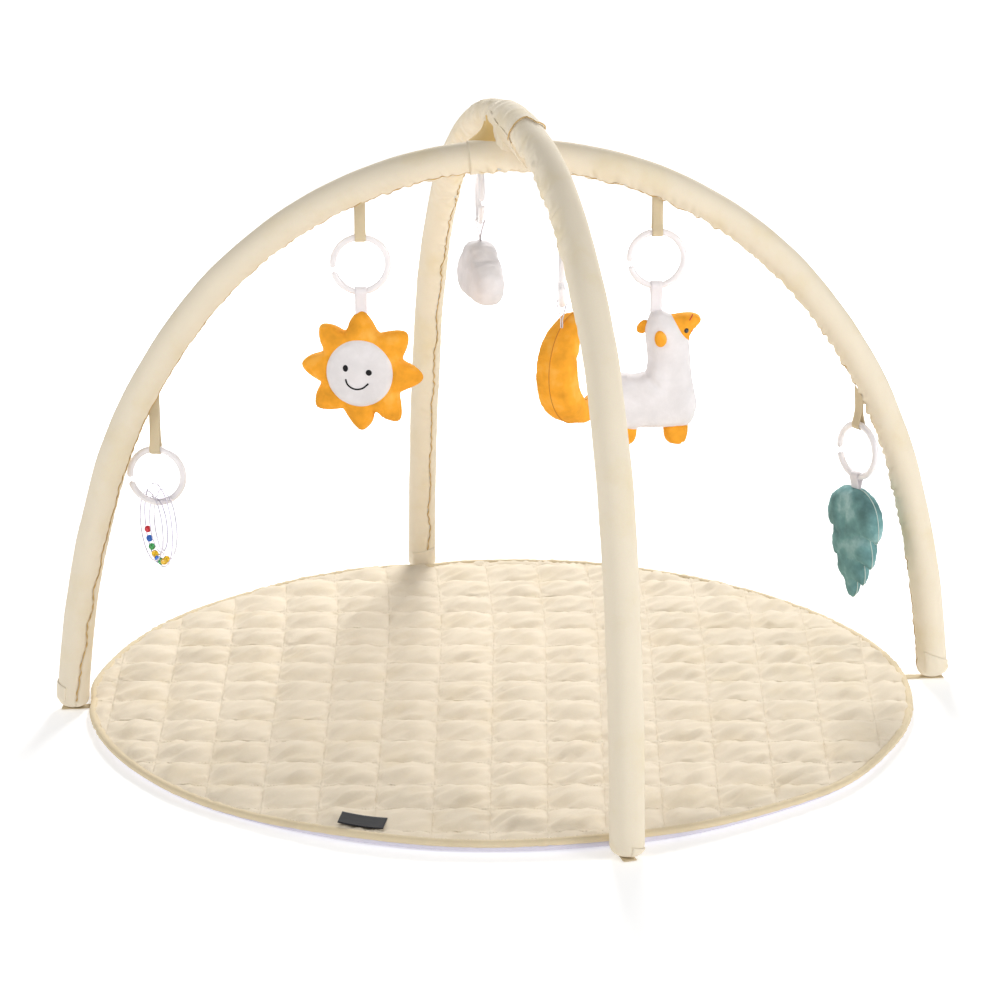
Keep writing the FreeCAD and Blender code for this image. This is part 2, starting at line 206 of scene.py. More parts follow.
def mesh(name, shape, materials, body, replaces=(), uv=None, slot=None):
    """A smooth piece of the object, out of (points, faces), riding on its body."""
    points, faces = shape
    materials = materials if isinstance(materials, list) else [materials]
    data = bpy.data.meshes.new(name)
    faces = faces.tolist() if isinstance(faces, np.ndarray) else faces
    data.from_pydata(np.asarray(points, float).tolist(), [], faces)
    data.shade_smooth()
    for m in materials:
        data.materials.append(m)
    if uv is not None:
        layer = data.uv_layers.new(name="cloth")
        loops = np.empty(len(data.loops), int)
        data.loops.foreach_get("vertex_index", loops)
        layer.data.foreach_set("uv", np.asarray(uv, np.float32).reshape(-1, 2)[loops].ravel())
    obj = bpy.data.objects.new(name, data)
    bpy.context.scene.collection.objects.link(obj)
    if body:
        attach(obj, body)
    slot = slot or SLOTS[materials[0].name]
    if replaces:
        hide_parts(*replaces)
    return obj


def sweep(path, section, up, closed_path=False, scale=None):
    """(points, faces) of a closed section (across, above) carried along a path."""
    along = unit(np.gradient(path, axis=0))
    across = unit(np.cross(along, np.broadcast_to(up, path.shape)))
    above = np.cross(across, along)
    size = (np.ones(len(path)) if scale is None else scale)[:, None, None]
    points = (path[:, None] + across[:, None] * (section[:, :1] * size)
              + above[:, None] * (section[:, 1:] * size))
    faces = grid_faces(len(path), len(section), closed_path, True).tolist()
    if not closed_path:
        last = (len(path) - 1) * len(section)
        faces.append(list(range(len(section)))[::-1])
        faces.append([last + k for k in range(len(section))])
    return points.reshape(-1, 3), faces


def round_section(radius, count=12, flat=1.0):
    a = round_turn(count)
    return np.stack([radius * np.cos(a), flat * radius * np.sin(a)], 1)


def tape_section(width, thick, count=7):
    """A flat tape with soft edges, as a closed section."""
    x = np.linspace(-1, 1, count)
    lift = (1 - x ** 8) * 0.5 + 0.12
    top = np.stack([x * width / 2, lift * thick / 1.24], 1)
    return np.concatenate([top, (top * [1, -1])[::-1]])


def smooth_loop(points, rounds=3):
    """A closed outline with its corners rounded off."""
    p = np.asarray(points, float)
    for _ in range(rounds):
        q = np.roll(p, -1, 0)
        p = np.stack([0.75 * p + 0.25 * q, 0.25 * p + 0.75 * q], 1).reshape(-1, 2)
    return p


def smooth_path(path, rounds=3):
    """An open path with its corners rounded off."""
    p = np.asarray(path, float)
    for _ in range(rounds):
        mid = np.stack([0.75 * p[:-1] + 0.25 * p[1:], 0.25 * p[:-1] + 0.75 * p[1:]], 1)
        p = np.concatenate([p[:1], mid.reshape(-1, p.shape[1]), p[-1:]])
    return p


def length_along(path):
    return np.concatenate([[0], np.cumsum(np.linalg.norm(np.diff(path, axis=0), axis=1))])


def places_on(path, run, at):
    """Points of a path of two coordinates, at lengths along it."""
    return np.stack([np.interp(at, run, path[:, k]) for k in (0, 1)], 1)


def spaced_loop(points, step):
    """The same closed outline, with evenly spaced points."""
    p = np.concatenate([points, points[:1]])
    run = length_along(p)
    return places_on(p, run, np.linspace(0, run[-1], max(int(run[-1] / step), 12) + 1)[:-1])


# ================================ materials ================================
SLOTS = {}  # the material slot named for each material, which mesh looks up but does not give to the piece


def material(name, slot, colour, roughness, **sockets):
    made = bpy.data.materials.new(name)
    made.use_nodes = True
    SLOTS[made.name] = slot
    socket(made, "Base Color").default_value = (*colour, 1)
    socket(made, "Roughness").default_value = roughness
    for key, value in sockets.items():
        socket(made, key.replace("_", " ")).default_value = value
    return made


def socket(mat, name):
    return mat.node_tree.nodes["Principled BSDF"].inputs[name]


def node(mat, kind, **values):
    made = mat.node_tree.nodes.new(kind)
    for key, value in values.items():
        if hasattr(made, key):
            setattr(made, key, value)
        else:
            made.inputs[key.replace("_", " ")].default_value = value
    return made


def link(mat, start, end):
    mat.node_tree.links.new(start, end)


def noise(mat, coords, scale, detail=3.0, roughness=0.55):
    made = node(mat, "ShaderNodeTexNoise", Scale=scale, Detail=detail, Roughness=roughness)
    link(mat, coords, made.inputs["Vector"])
    return made.outputs["Fac"]


def mottle(mat, coords, colours, scale, low=0.35, high=0.65):
    """Colour that drifts between two or three shades."""
    ramp = node(mat, "ShaderNodeValToRGB")
    places = np.linspace(low, high, len(colours))
    ramp.color_ramp.elements[0].position = float(places[0])
    ramp.color_ramp.elements[1].position = float(places[-1])
    for place in places[1:-1]:
        ramp.color_ramp.elements.new(float(place))
    for element, colour in zip(ramp.color_ramp.elements, colours):
        element.color = (*colour, 1)
    link(mat, noise(mat, coords, scale, 4.0), ramp.inputs["Fac"])
    return ramp.outputs["Color"]


def relief(mat, heights):
    """Bumps laid one on another, as (height socket, strength, distance)."""
    last = None
    for height, strength, distance in heights:
        bump = node(mat, "ShaderNodeBump", Strength=strength, Distance=distance)
        link(mat, height, bump.inputs["Height"])
        if last:
            link(mat, last, bump.inputs["Normal"])
        last = bump.outputs["Normal"]
    link(mat, last, socket(mat, "Normal"))


def times(colour, k):
    return tuple(min(c * k, 1.0) for c in colour)


def threads(mat, coords, pitch, ribs=False):
    """The height of a plain weave, or of ribs across one way."""
    heights = []
    for direction in ("X", "Y"):
        wave = node(mat, "ShaderNodeTexWave", bands_direction=direction, Scale=TAU / 20 / pitch,
                    Distortion=0.6, Detail=1.0)
        link(mat, coords, wave.inputs["Vector"])
        heights.append(wave.outputs["Fac"])
    if ribs:
        return heights[0]
    both = node(mat, "ShaderNodeMath", operation="MULTIPLY")
    for n in (0, 1):
        link(mat, heights[n], both.inputs[n])
    return both.outputs[0]


def cloth(name, slot, colour, deep, pitch=0.5 * MM, sheen=0.06, crumple=0.25, ribs=False, uv=True):
    """Woven cotton or tape: threads, a soft crumple and uneven colour."""
    mat = material(name, slot, colour, 0.88, Sheen_Weight=sheen, Sheen_Roughness=0.5, Specular_IOR_Level=0.25)
    where = node(mat, "ShaderNodeTexCoord")
    coords = where.outputs["Object"]
    base = mottle(mat, coords, [deep, colour, times(colour, 1.02)], 22.0, 0.25, 0.75)
    fleck = noise(mat, coords, 900.0, 2.0).node.outputs["Color"]
    mix = node(mat, "ShaderNodeMix", data_type="RGBA", blend_type="SOFT_LIGHT")
    mix.inputs[0].default_value = 0.18
    link(mat, base, mix.inputs[6])
    link(mat, fleck, mix.inputs[7])
    link(mat, mix.outputs[2], socket(mat, "Base Color"))
    relief(mat, [(noise(mat, coords, 120.0), crumple, 0.8 * MM),
                 (threads(mat, where.outputs["UV"] if uv else coords, pitch, ribs), 0.35, 0.08 * MM)])
    return mat


def plush(name, slot, colour, deep, pale):
    """Short pile: brushed patches, a soft sheen and a fine nap."""
    mat = material(name, slot, colour, 0.92, Sheen_Weight=0.45, Sheen_Roughness=0.35, Specular_IOR_Level=0.15,
                   Sheen_Tint=(*pale, 1))
    coords = node(mat, "ShaderNodeTexCoord").outputs["Object"]
    link(mat, mottle(mat, coords, [deep, colour, pale], 42.0, 0.3, 0.72), socket(mat, "Base Color"))
    relief(mat, [(noise(mat, coords, 160.0, 4.0, 0.65), 0.45, 1.2 * MM),
                 (noise(mat, coords, 1400.0, 2.0, 0.7), 0.5, 0.35 * MM)])
    return mat


def moulded(name, slot, colour, roughness=0.32, **sockets):
    """Moulded plastic, rubber or metal with faint flow marks."""
    mat = material(name, slot, colour, roughness, **sockets)
    coords = node(mat, "ShaderNodeTexCoord").outputs["Object"]
    link(mat, mottle(mat, coords, [times(colour, 0.95), colour], 60.0), socket(mat, "Base Color"))
    relief(mat, [(noise(mat, coords, 420.0), 0.12, 0.15 * MM)])
    return mat


def clear(name, slot):
    mat = material(name, slot, (0.985, 0.98, 1.0), 0.02, IOR=1.015, Transmission_Weight=1.0,
                   Specular_IOR_Level=0.5)
    relief(mat, [(noise(mat, node(mat, "ShaderNodeTexCoord").outputs["Object"], 90.0), 0.08, 0.3 * MM)])
    return mat


COTTON = cloth("cream_cotton", "cream_cotton", CREAM, CREAM_DEEP)
COTTON_PLAIN = cloth("flap_cotton", "cream_cotton", CREAM, CREAM_DEEP, uv=False)
QUILT = cloth("quilted_cotton", "cream_cotton", QUILT_CREAM, (0.76, 0.65, 0.48), crumple=0.35, uv=False)
SEAM = cloth("seam_edge", "cream_cotton", SEAM_BROWN, times(SEAM_BROWN, 0.8), uv=False)
# cream cotton painted a deep yellow-brown: painted shade for the shaded gusset under the cuff
GUSSET_SHADE = cloth("gusset_painted_shade", "cream_cotton", (0.72, 0.50, 0.20), (0.62, 0.42, 0.16), uv=False)
THREAD = cloth("quilting_thread", "cream_cotton", CREAM, CREAM_DEEP, 0.3 * MM, uv=False)
WADDING = cloth("wadding_felt", "wadding", (0.85, 0.84, 0.82), (0.78, 0.77, 0.75), 1.2 * MM, 0.3, 0.6,
                uv=False)
UNDERSIDE = cloth("white_backing_cloth", "white_backing", BACKING, times(BACKING, 0.92), 0.7 * MM, 0.3)
BINDING = cloth("binding_tape", "beige_tape", times(TAPE, 1.12), TAPE, sheen=0.1)
LOOP_TAPE = cloth("loop_tape", "beige_tape", TAPE, times(TAPE, 0.85), 0.9 * MM, ribs=True)
SATIN = cloth("white_ribbon", "white_tape", RIBBON_WHITE, times(RIBBON_WHITE, 0.93), 0.8 * MM, 0.35,
              ribs=True)
LABEL = cloth("black_label", "black_woven", BLACK, times(BLACK, 0.6), 0.6 * MM, 0.2, ribs=True)
ORANGE_PLUSH = plush("orange_pile", "orange_plush", ORANGE, times(ORANGE, 0.78), (1.0, 0.52, 0.10))
TEAL_PLUSH = plush("teal_pile", "teal_plush", TEAL, times(TEAL, 0.62), (0.38, 0.58, 0.58))
WHITE_PLUSH = plush("white_pile", "white_plush", PLUSH_WHITE, times(PLUSH_WHITE, 0.93), (0.88, 0.85, 0.87))
ORANGE_EDGE = cloth("orange_seam", "orange_plush", (0.62, 0.25, 0.03), (0.5, 0.19, 0.02), uv=False)
TEAL_EDGE = cloth("teal_seam", "teal_plush", (0.55, 0.66, 0.62), (0.42, 0.55, 0.52), uv=False)
STITCH_BLACK = cloth("black_stitching", "black_thread", BLACK, times(BLACK, 0.5), sheen=0.1, uv=False)
STITCH_RED = cloth("red_stitching", "black_thread", (0.62, 0.05, 0.05), (0.5, 0.03, 0.03), uv=False)
EYE_BLACK = moulded("eye_black", "black_thread", BLACK, 0.25, Coat_Weight=0.5)
RING_PLASTIC = moulded("ring_milky_plastic", "ring_plastic", RING_WHITE, Coat_Weight=0.25,
                       Transmission_Weight=0.12)
CLEAR = clear("rattle_clear_plastic", "clear_plastic")
# the ridges are moulded, but their opaque lilac, darker than the clear shell, is painted shade for the dark
# lines that light draws along a clear ring
RIDGE_SHADE = moulded("rattle_ridge", "clear_plastic", (0.72, 0.68, 0.80), 0.2, Coat_Weight=0.3)
BEADS = [moulded("bead_" + word, "bead_plastic", colour, 0.25, Coat_Weight=0.4)
         for word, colour in BEAD_COLOURS.items()]
FOAM = moulded("pole_foam", None, (0.62, 0.62, 0.60), 0.9)
GLASS_FIBRE = moulded("glass_fibre", None, (0.80, 0.80, 0.74), 0.35)
ALLOY = moulded("ferrule_metal", None, (0.72, 0.73, 0.75), 0.3, Metallic=1.0)
RUBBER = moulded("cap_rubber", None, (0.02, 0.02, 0.022), 0.7)


# ================================ the arches ================================
class Arch:
    """An arch's centreline: a row of tangent arcs from its crown to each foot."""

    def __init__(self, rise, foot, arcs, turn):
        self.turn = turn
        x, z, heading, self.arcs, self.starts = 0.0, rise, 0.0, [], [0.0]
        for radius, degrees in arcs:
            angle = math.radians(degrees)
            cx, cz = x - radius * math.sin(heading), z - radius * math.cos(heading)
            self.arcs.append((cx, cz, radius, heading))
            self.starts.append(self.starts[-1] + radius * angle)
            heading += angle
            x, z = cx + radius * math.sin(heading), cz + radius * math.cos(heading)
        half_turn = math.atan2(z - FOOT_Z, foot - x) - heading
        radius = math.hypot(foot - x, z - FOOT_Z) / (2 * math.sin(half_turn))
        cx, cz = x - radius * math.sin(heading), z - radius * math.cos(heading)
        self.arcs.append((cx, cz, radius, heading))
        self.half = self.starts[-1] + radius * 2 * half_turn

    def at(self, s):
        """(centre, outward direction) at lengths s from the crown."""
        side, run = np.where(s < 0, -1.0, 1.0), np.abs(s)
        k = np.clip(np.searchsorted(self.starts, run, side="right") - 1, 0, len(self.arcs) - 1)
        cx, cz, radius, start = (np.array(self.arcs)[k, n] for n in range(4))
        angle = start + (run - np.array(self.starts)[k]) / radius
        nil, sin, cos = 0 * angle, np.sin(angle), np.cos(angle)
        centre = np.stack([side * (cx + radius * sin), nil, cz + radius * cos], -1)
        return turned(centre, self.turn), turned(np.stack([side * sin, nil, cos], -1), self.turn)

    def skin(self, s, theta, radius):
        """Points round the tube: theta 0 is outward, 90 degrees the arch's own back."""
        centre, out = self.at(s)
        back = turned(np.array([0.0, 1.0, 0.0]), self.turn)
        return centre + radius[..., None] * (np.cos(theta)[..., None] * out + np.sin(theta)[..., None] * back)


class Sleeve:
    """The relief of one fabric sleeve: its seam's route, puckers and folds."""

    def __init__(self, arch, seam, pucker, seed, folds):
        self.arch, self.seam_at, self.pucker_at, self.seed, self.folds = arch, seam, pucker, seed, folds

    def seam(self, s):
        t, degrees = zip(*self.seam_at)
        return np.radians(np.interp(s / self.arch.half, t, degrees) + 5.0 * waves((s,), 0.05, self.seed + 1))

    def radius(self, s, theta):
        s, theta = np.broadcast_arrays(s, theta)
        t, amount = zip(*self.pucker_at)
        strength = np.interp(s / self.arch.half, t, amount)
        gap = angle_gap(theta, self.seam(s))
        arc = gap * TUBE_R
        ripples = waves((s + 0.55 * np.abs(arc), 0.25 * arc), 0.010, self.seed + 2)
        ripples = np.sign(ripples) * np.abs(ripples) ** 0.8
        soft = waves((s, TUBE_R * np.cos(theta), TUBE_R * np.sin(theta)), 0.055, self.seed)
        r = TUBE_R + 0.3 * MM * soft + 1.25 * MM * strength * bell(gap, 0.75) * ripples
        r -= 0.6 * MM * bell(gap, 0.16) * (0.4 + strength)
        for fold in self.folds:
            r += fold(s, theta)
        run = np.clip((np.abs(s) - self.arch.half + 0.012) / 0.012, 0, 1)
        return r * (1 - run ** 2.6) ** (1 / 2.6)

    def surface(self, s, theta, lift=0.0):
        return self.arch.skin(s, theta, self.radius(s, theta) + lift)


def fold_set(low, high, theta_at, theta_half, height, length, bend, seed):
    """Folds round part of a tube between two places, bowed by bend."""
    def relief_of(s, theta):
        gap = angle_gap(theta, math.radians(theta_at))
        drift = 0.35 * length * waves((s, TUBE_R * gap), 0.03, seed)
        ridge = 0.5 + 0.5 * np.cos((s + bend * gap ** 2 + drift) * TAU / length)
        uneven = 0.75 + 0.35 * waves((s, TUBE_R * gap), 0.02, seed + 1)
        window = 1 / (1 + np.exp(-(s - low) / 0.004)) / (1 + np.exp(-(high - s) / 0.004))
        return height * bell(gap, math.radians(theta_half), 4) * window * (ridge ** 1.6 - 0.35) * uneven
    return relief_of


LOWER_SLEEVE = Sleeve(
    Arch(**LOWER),
    seam=[(-1, -100), (-0.9, -128), (-0.75, -150), (-0.55, -166), (-0.3, -172), (-0.08, -158),
          (0.05, -160), (0.2, -168), (0.35, -190), (0.8, -195), (1, -185)],
    pucker=[(-1, 0.12), (-0.62, 0.25), (-0.3, 0.55), (-0.1, 0.9), (0.1, 0.9), (0.3, 1.0),
            (0.62, 1.15), (0.78, 0.8), (0.95, 0.3)],
    seed=11, folds=[
        fold_set(-0.055, -0.004, -165, 38, 1.3 * MM, 0.017, 0.002, 61),
        fold_set(0.02, 0.075, -165, 30, 0.9 * MM, 0.014, 0.002, 62)])
UPPER_SLEEVE = Sleeve(
    Arch(**UPPER),
    seam=[(-1, 168), (-0.5, 160), (-0.12, 150), (0, 180), (0.06, 212), (0.2, 226), (0.32, 232),
          (0.45, 215), (0.7, 205), (1, 200)],
    pucker=[(-1, 0.15), (-0.6, 0.35), (-0.35, 0.8), (-0.12, 1.0), (0.1, 1.0), (0.4, 0.8), (0.7, 0.5),
            (1, 0.3)],
    seed=23, folds=[
        fold_set(0.022, 0.125, 112, 108, 2.2 * MM, 0.0085, 0.006, 71),
        fold_set(0.125, 0.34, 150, 80, 1.9 * MM, 0.0125, 0.012, 72),
        fold_set(-0.29, -0.085, 95, 50, 2.2 * MM, 0.0165, -0.012, 73)])
SLEEVES = {"lower": LOWER_SLEEVE, "upper": UPPER_SLEEVE}


def make_sleeve(sleeve, name):
    """The sleeve as one sheet, open along its seam, where both edges turn in."""
    half = sleeve.arch.half
    end = np.arange(0, 0.014, 0.8 * MM)
    s = np.concatenate([end - half, np.arange(0.014 - half, half - 0.014, 1.6 * MM), half - end[::-1]])
    lengths, turn = grid_of(s, np.linspace(0, TAU, 61))
    theta = sleeve.seam(lengths) + turn
    tuck = np.minimum(turn, TAU - turn) * TUBE_R
    radius = sleeve.radius(lengths, theta) - 1.3 * MM * bell(tuck, 0.8 * MM)
    grid = sleeve.arch.skin(lengths, theta, np.maximum(radius, 0.05 * MM))
    obj = mesh(name + "_cover", shell(grid, flip=True), COTTON, name + "_arch",
               [name + "_sleeve", name + "_foot_ends"], np.stack([turn * TUBE_R, lengths], -1))


def make_seam(sleeve, name):
    """The narrow turned edge that stands out of the sleeve's seam."""
    s = np.arange(-sleeve.arch.half + 0.010, sleeve.arch.half - 0.010, 1.2 * MM)
    theta = sleeve.seam(s) + np.radians(2.2) * waves((s,), 0.012, sleeve.seed + 7)
    path = sleeve.surface(s, theta, 0.15 * MM)
    height = 1.0 + 0.35 * waves((s,), 0.01, sleeve.seed + 8)
    shape = sweep(path, round_section(0.55 * MM, 8, 0.9), path - sleeve.arch.at(s)[0], scale=height)
    mesh(name + "_seam", shape, SEAM, name + "_arch")


# the folded and sewn-down ends at each foot: the side, the angle and the half width in
# degrees, the hem's lower and upper height and its slope in mm
FLAPS = {"lower": [(-1, 0, 62, 9, 27, 3.0), (1, -70, 60, 5, 24, -8.0)],
         "upper": [(-1, -48, 46, 1.5, 9, 3.5), (1, 180, 60, 8, 26, 3.0)]}


def fold_over(sleeve, side, theta_at, half_width, low, high, slope, seed):
    """A flap of the sleeve's end, folded back over it and stitched down, with a turned hem."""
    u, v = grid_of(np.linspace(-1, 1, 41), np.linspace(0, 1, 25))
    theta = math.radians(theta_at) + u * math.radians(half_width)
    end = side * (sleeve.arch.half - (low + v * (high + slope * u - low)) * MM)
    rim = np.minimum(np.minimum(1 - np.abs(u), 1 - v) * 9, 1)
    puff = 0.5 * MM * np.sin(math.pi * v) * (1 + 0.6 * waves((u * 0.02, v * 0.02), 0.014, seed))
    lift = 0.25 * MM + rim ** 0.5 * (0.8 * MM + puff) + 0.55 * MM * bell(1 - v, 0.10)
    outer, inner = sleeve.surface(end, theta, lift), sleeve.surface(end, theta, 0.05 * MM)
    return slab(outer[::-side], inner[::-side])  # turned round on one side, so that it faces outward


def make_flaps():
    for name, flaps in FLAPS.items():
        parts = [fold_over(SLEEVES[name], *flap, 200 + n) for n, flap in enumerate(flaps)]
        mesh(name + "_flap_pair", joined(parts), COTTON_PLAIN, name + "_arch", [name + "_foot_flaps"])


def paint_inside():
    """The poles, their ends and the padding, which stay as the CAD has them."""
    kinds = {"foam": FOAM, "rod": GLASS_FIBRE, "ferrule": ALLOY, "rod_caps": RUBBER}
    for name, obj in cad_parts.items():
        for word, mat in kinds.items():
            if word in name and (word != "rod" or "caps" not in name):
                obj.data.materials.clear()
                obj.data.materials.append(mat)
                for slot_used in obj.material_slots:
                    slot_used.material = mat


# ================================ camera, floor and light ================================
def make_camera():
    yaw, down = math.radians(5.98), math.radians(15.36)
    forward = Vector((math.sin(yaw) * math.cos(down), math.cos(yaw) * math.cos(down), -math.sin(down)))
    data = bpy.data.cameras.new("camera")
    data.sensor_width = 36.0
    data.lens = 96.99
    data.shift_x, data.shift_y = -0.00944, -0.0231
    data.clip_start, data.clip_end = 0.1, 50.0
    camera = bpy.data.objects.new("camera", data)
    camera.location = Vector((0, 0, 0.23375)) - forward * 2.7625
    camera.rotation_mode = "QUATERNION"
    camera.rotation_quaternion = forward.to_track_quat("-Z", "Y")
    bpy.context.scene.collection.objects.link(camera)
    bpy.context.scene.camera = camera


def make_stage():
    """A pale floor that glows a little more away from the gym, and soft lamps."""
    floor_mat = material("pale_floor", None, (0.9, 0.9, 0.9), 0.9, Specular_IOR_Level=0.1,
                         Emission_Color=(1, 1, 1, 1))
    away = node(floor_mat, "ShaderNodeVectorMath", operation="LENGTH")
    link(floor_mat, node(floor_mat, "ShaderNodeTexCoord").outputs["Object"], away.inputs[0])
    glow = node(floor_mat, "ShaderNodeMapRange", From_Min=0.6, From_Max=2.6, To_Min=0.34, To_Max=0.8)
    link(floor_mat, away.outputs["Value"], glow.inputs["Value"])
    link(floor_mat, glow.outputs["Result"], socket(floor_mat, "Emission Strength"))
    size = 40.0
    corners = [(-size, -size, 0), (size, -size, 0), (size, size, 0), (-size, size, 0)]
    floor = mesh("floor", (corners, [(0, 1, 2, 3)]), floor_mat, None)
    floor.location.z = -0.2 * MM
    world = bpy.data.worlds.new("soft_white")
    world.use_nodes = True
    world.node_tree.nodes["Background"].inputs["Color"].default_value = (1, 1, 1, 1)
    world.node_tree.nodes["Background"].inputs["Strength"].default_value = 0.38
    bpy.context.scene.world = world
    lights = [("key", (0.4, 2.2, 1.6), 0.9, 66), ("left", (-2.0, -1.5, 1.7), 0.9, 17),
              ("right", (2.3, -1.8, 1.1), 1.2, 33)]
    for name, place, size, power in lights:
        data = bpy.data.lights.new(name, "AREA")
        data.shape, data.size, data.energy = "DISK", size, power
        lamp = bpy.data.objects.new(name, data)
        lamp.location = place
        lamp.rotation_euler = (Vector((0, 0, 0.25)) - Vector(place)).to_track_quat("-Z", "Y").to_euler()
        bpy.context.scene.collection.objects.link(lamp)
    bpy.context.scene.view_settings.view_transform = "Standard"


# ================================ the mat ================================
def quilt_axes():
    a = math.radians(QUILT_TURN)
    return np.array([math.cos(a), -math.sin(a)]), np.array([math.sin(a), math.cos(a)])


def quilt_point(column, row):
    """Where a column and a row of the quilting cross, in x and y."""
    right, forward = quilt_axes()
    f = ROW_AT + ROW_PITCH * row
    r = COLUMN_AT + column * (PITCH + PITCH_SPREAD * f) - BACK_BEND * np.maximum(f - 0.1, 0) ** 2
    return GRID_AT + r[..., None] * right + f[..., None] * forward


def front_share(angle):
    """1 at the mat's front edge, which stands up a little, falling to 0 at its sides."""
    return facing(angle, -93, 0.62, 4)


def edge_reach(angle):
    """How far the mat's edge is from its middle: it gives way a little at the feet."""
    reach = MAT_R + 1.2 * MM * waves((np.cos(angle), np.sin(angle)), 0.5, 31) + 2.5 * MM * front_share(angle)
    for turn, foot in FEET.values():
        a = math.radians(turn)
        way = foot * np.array([math.cos(a), math.sin(a)]) - MAT_AT
        need = np.maximum(reach - (np.linalg.norm(way) - TUBE_R - 2.2 * MM), 0)
        reach = reach - need * bell(angle_gap(angle, math.atan2(way[1], way[0])), 0.07)
    return reach


def edge_rise(angle):
    """How high the mat's edge lies: it stands up at the front and curls up at the back."""
    drift = waves((np.cos(angle), np.sin(angle)), 0.6, 34)
    return 3.0 * MM * front_share(angle) + 3.5 * MM * facing(angle, 85, 0.8, 4) + 0.6 * MM * drift


def puff_at(column, row, xy):
    """The height of the quilting's puffs over its seams, from 0 to about 1."""
    u, v = np.abs(np.sin(math.pi * column)), np.abs(np.sin(math.pi * row))
    cell = (0.25 + 0.75 * np.sqrt(u * v)) * u ** 0.22 * v ** 0.38
    edge = np.clip((COVER_R - np.linalg.norm(xy - MAT_AT, axis=-1)) / 0.022, 0, 1)
    return cell * np.sqrt(edge * (2 - edge))


def drag_lines(xy, seed):
    """Soft creases that run forward to the right, as where the cover is pulled askew."""
    right, forward = quilt_axes()
    r, f = xy @ right, xy @ forward
    return waves((0.75 * r - 0.66 * f, 0.25 * (0.66 * r + 0.75 * f)), 0.013, seed, 30)


def quilt_grid(cell):
    """Columns, rows and places of a grid over the quilting, clipped to the cover's circle."""
    count = 2 * QUILT_REACH * cell + 1
    line = np.linspace(-QUILT_REACH, QUILT_REACH, count)
    line = line - 0.7 * np.sin(TAU * line) / TAU
    column, row = (a.ravel() for a in grid_of(line, line))
    way = quilt_point(column, row) - MAT_AT
    r = np.linalg.norm(way, axis=-1)
    reach = edge_reach(np.arctan2(way[:, 1], way[:, 0])) - (MAT_R - COVER_R) + 4 * MM
    faces = grid_faces(count, count)
    faces = faces[(r < reach)[faces].sum(1) >= 2]
    used = np.unique(faces)
    way, faces = split(way, faces, np.full(len(faces), True))
    r, reach = r[used], reach[used]
    rim = r > reach - 0.1 * MM
    way[rim] *= (reach / r)[rim][:, None]
    return column[used], row[used], way + MAT_AT, faces, rim


def swell(points, faces, held):
    """Cloth simulation: the cover, held along its seams, blown up by the wadding under it."""
    data = bpy.data.meshes.new("cover_rest")
    data.from_pydata(points.tolist(), [], faces.tolist())
    obj = bpy.data.objects.new("cover_rest", data)
    bpy.context.scene.collection.objects.link(obj)
    obj.vertex_groups.new(name="held").add(np.nonzero(held)[0].tolist(), 1.0, "REPLACE")
    simulated = obj.modifiers.new("cloth", "CLOTH")
    settings = simulated.settings
    settings.quality = 4
    settings.mass = 0.02
    settings.tension_stiffness = settings.compression_stiffness = 12.0
    settings.shear_stiffness = 4.0
    settings.bending_stiffness = 0.02
    settings.vertex_group_mass = "held"
    settings.pin_stiffness = 50.0
    settings.use_pressure = True
    settings.uniform_pressure_force = 2.2
    settings.shrink_min = -0.045
    settings.effector_weights.gravity = 0.0
    simulated.collision_settings.use_collision = False
    simulated.point_cache.frame_start, simulated.point_cache.frame_end = 1, 24
    for frame_number in range(1, 25):
        bpy.context.scene.frame_set(frame_number)
    result = obj.evaluated_get(bpy.context.evaluated_depsgraph_get()).to_mesh()
    moved = np.empty(len(points) * 3)
    result.vertices.foreach_get("co", moved)
    bpy.context.scene.frame_set(1)
    bpy.data.objects.remove(obj)
    return moved.reshape(-1, 3)


def cover_shape():
    """The quilted cover: its seams pinned down, its squares swollen and dragged askew."""
    column, row, xy, faces, rim = quilt_grid(CELL)
    on_seam = np.minimum(np.abs(column - np.round(column)), np.abs(row - np.round(row))) < 1e-6
    height = puff_at(column, row, xy)
    crease = drag_lines(xy, 5)
    way = xy - MAT_AT
    near_edge = np.clip((np.linalg.norm(way, axis=1) / COVER_R - 0.86) / 0.14, 0, 1)
    base = np.where(rim, EDGE_Z, SEAM_Z) + edge_rise(np.arctan2(way[:, 1], way[:, 0])) * near_edge ** 2
    points = np.column_stack([xy, base + PUFF * height])
    start = np.column_stack([xy, base + 0.55 * PUFF * height + 0.5 * MM * crease * height])
    held = on_seam | rim
    step = swell(start, faces, held) - points
    step *= np.minimum(1, GIVE / np.maximum(np.linalg.norm(step, axis=1, keepdims=True), 1e-9))
    points = points + np.where(held[:, None], 0, step)
    deep = np.sign(crease) * np.abs(crease) ** 0.75
    points[:, 2] += (1.9 * deep + 0.7 * drag_lines(xy * 1.8, 6)) * MM * height ** 0.8
    points[:, 2] = np.clip(points[:, 2], SEAM_Z - 0.6 * MM, COVER_TOP)
    return points, faces


def fabric_tree(points, faces):
    return BVHTree.FromPolygons([Vector(p) for p in points.tolist()], [list(f) for f in faces])


def drop_on(tree, xy, lift=0.0):
    """Points of x and y set down on a surface."""
    out = []
    for x, y in xy.reshape(-1, 2).tolist():
        hit = tree.ray_cast(Vector((x, y, 1.0)), Vector((0, 0, -1)))[0]
        out.append((x, y, (hit.z if hit else EDGE_Z) + lift))
    return np.array(out)


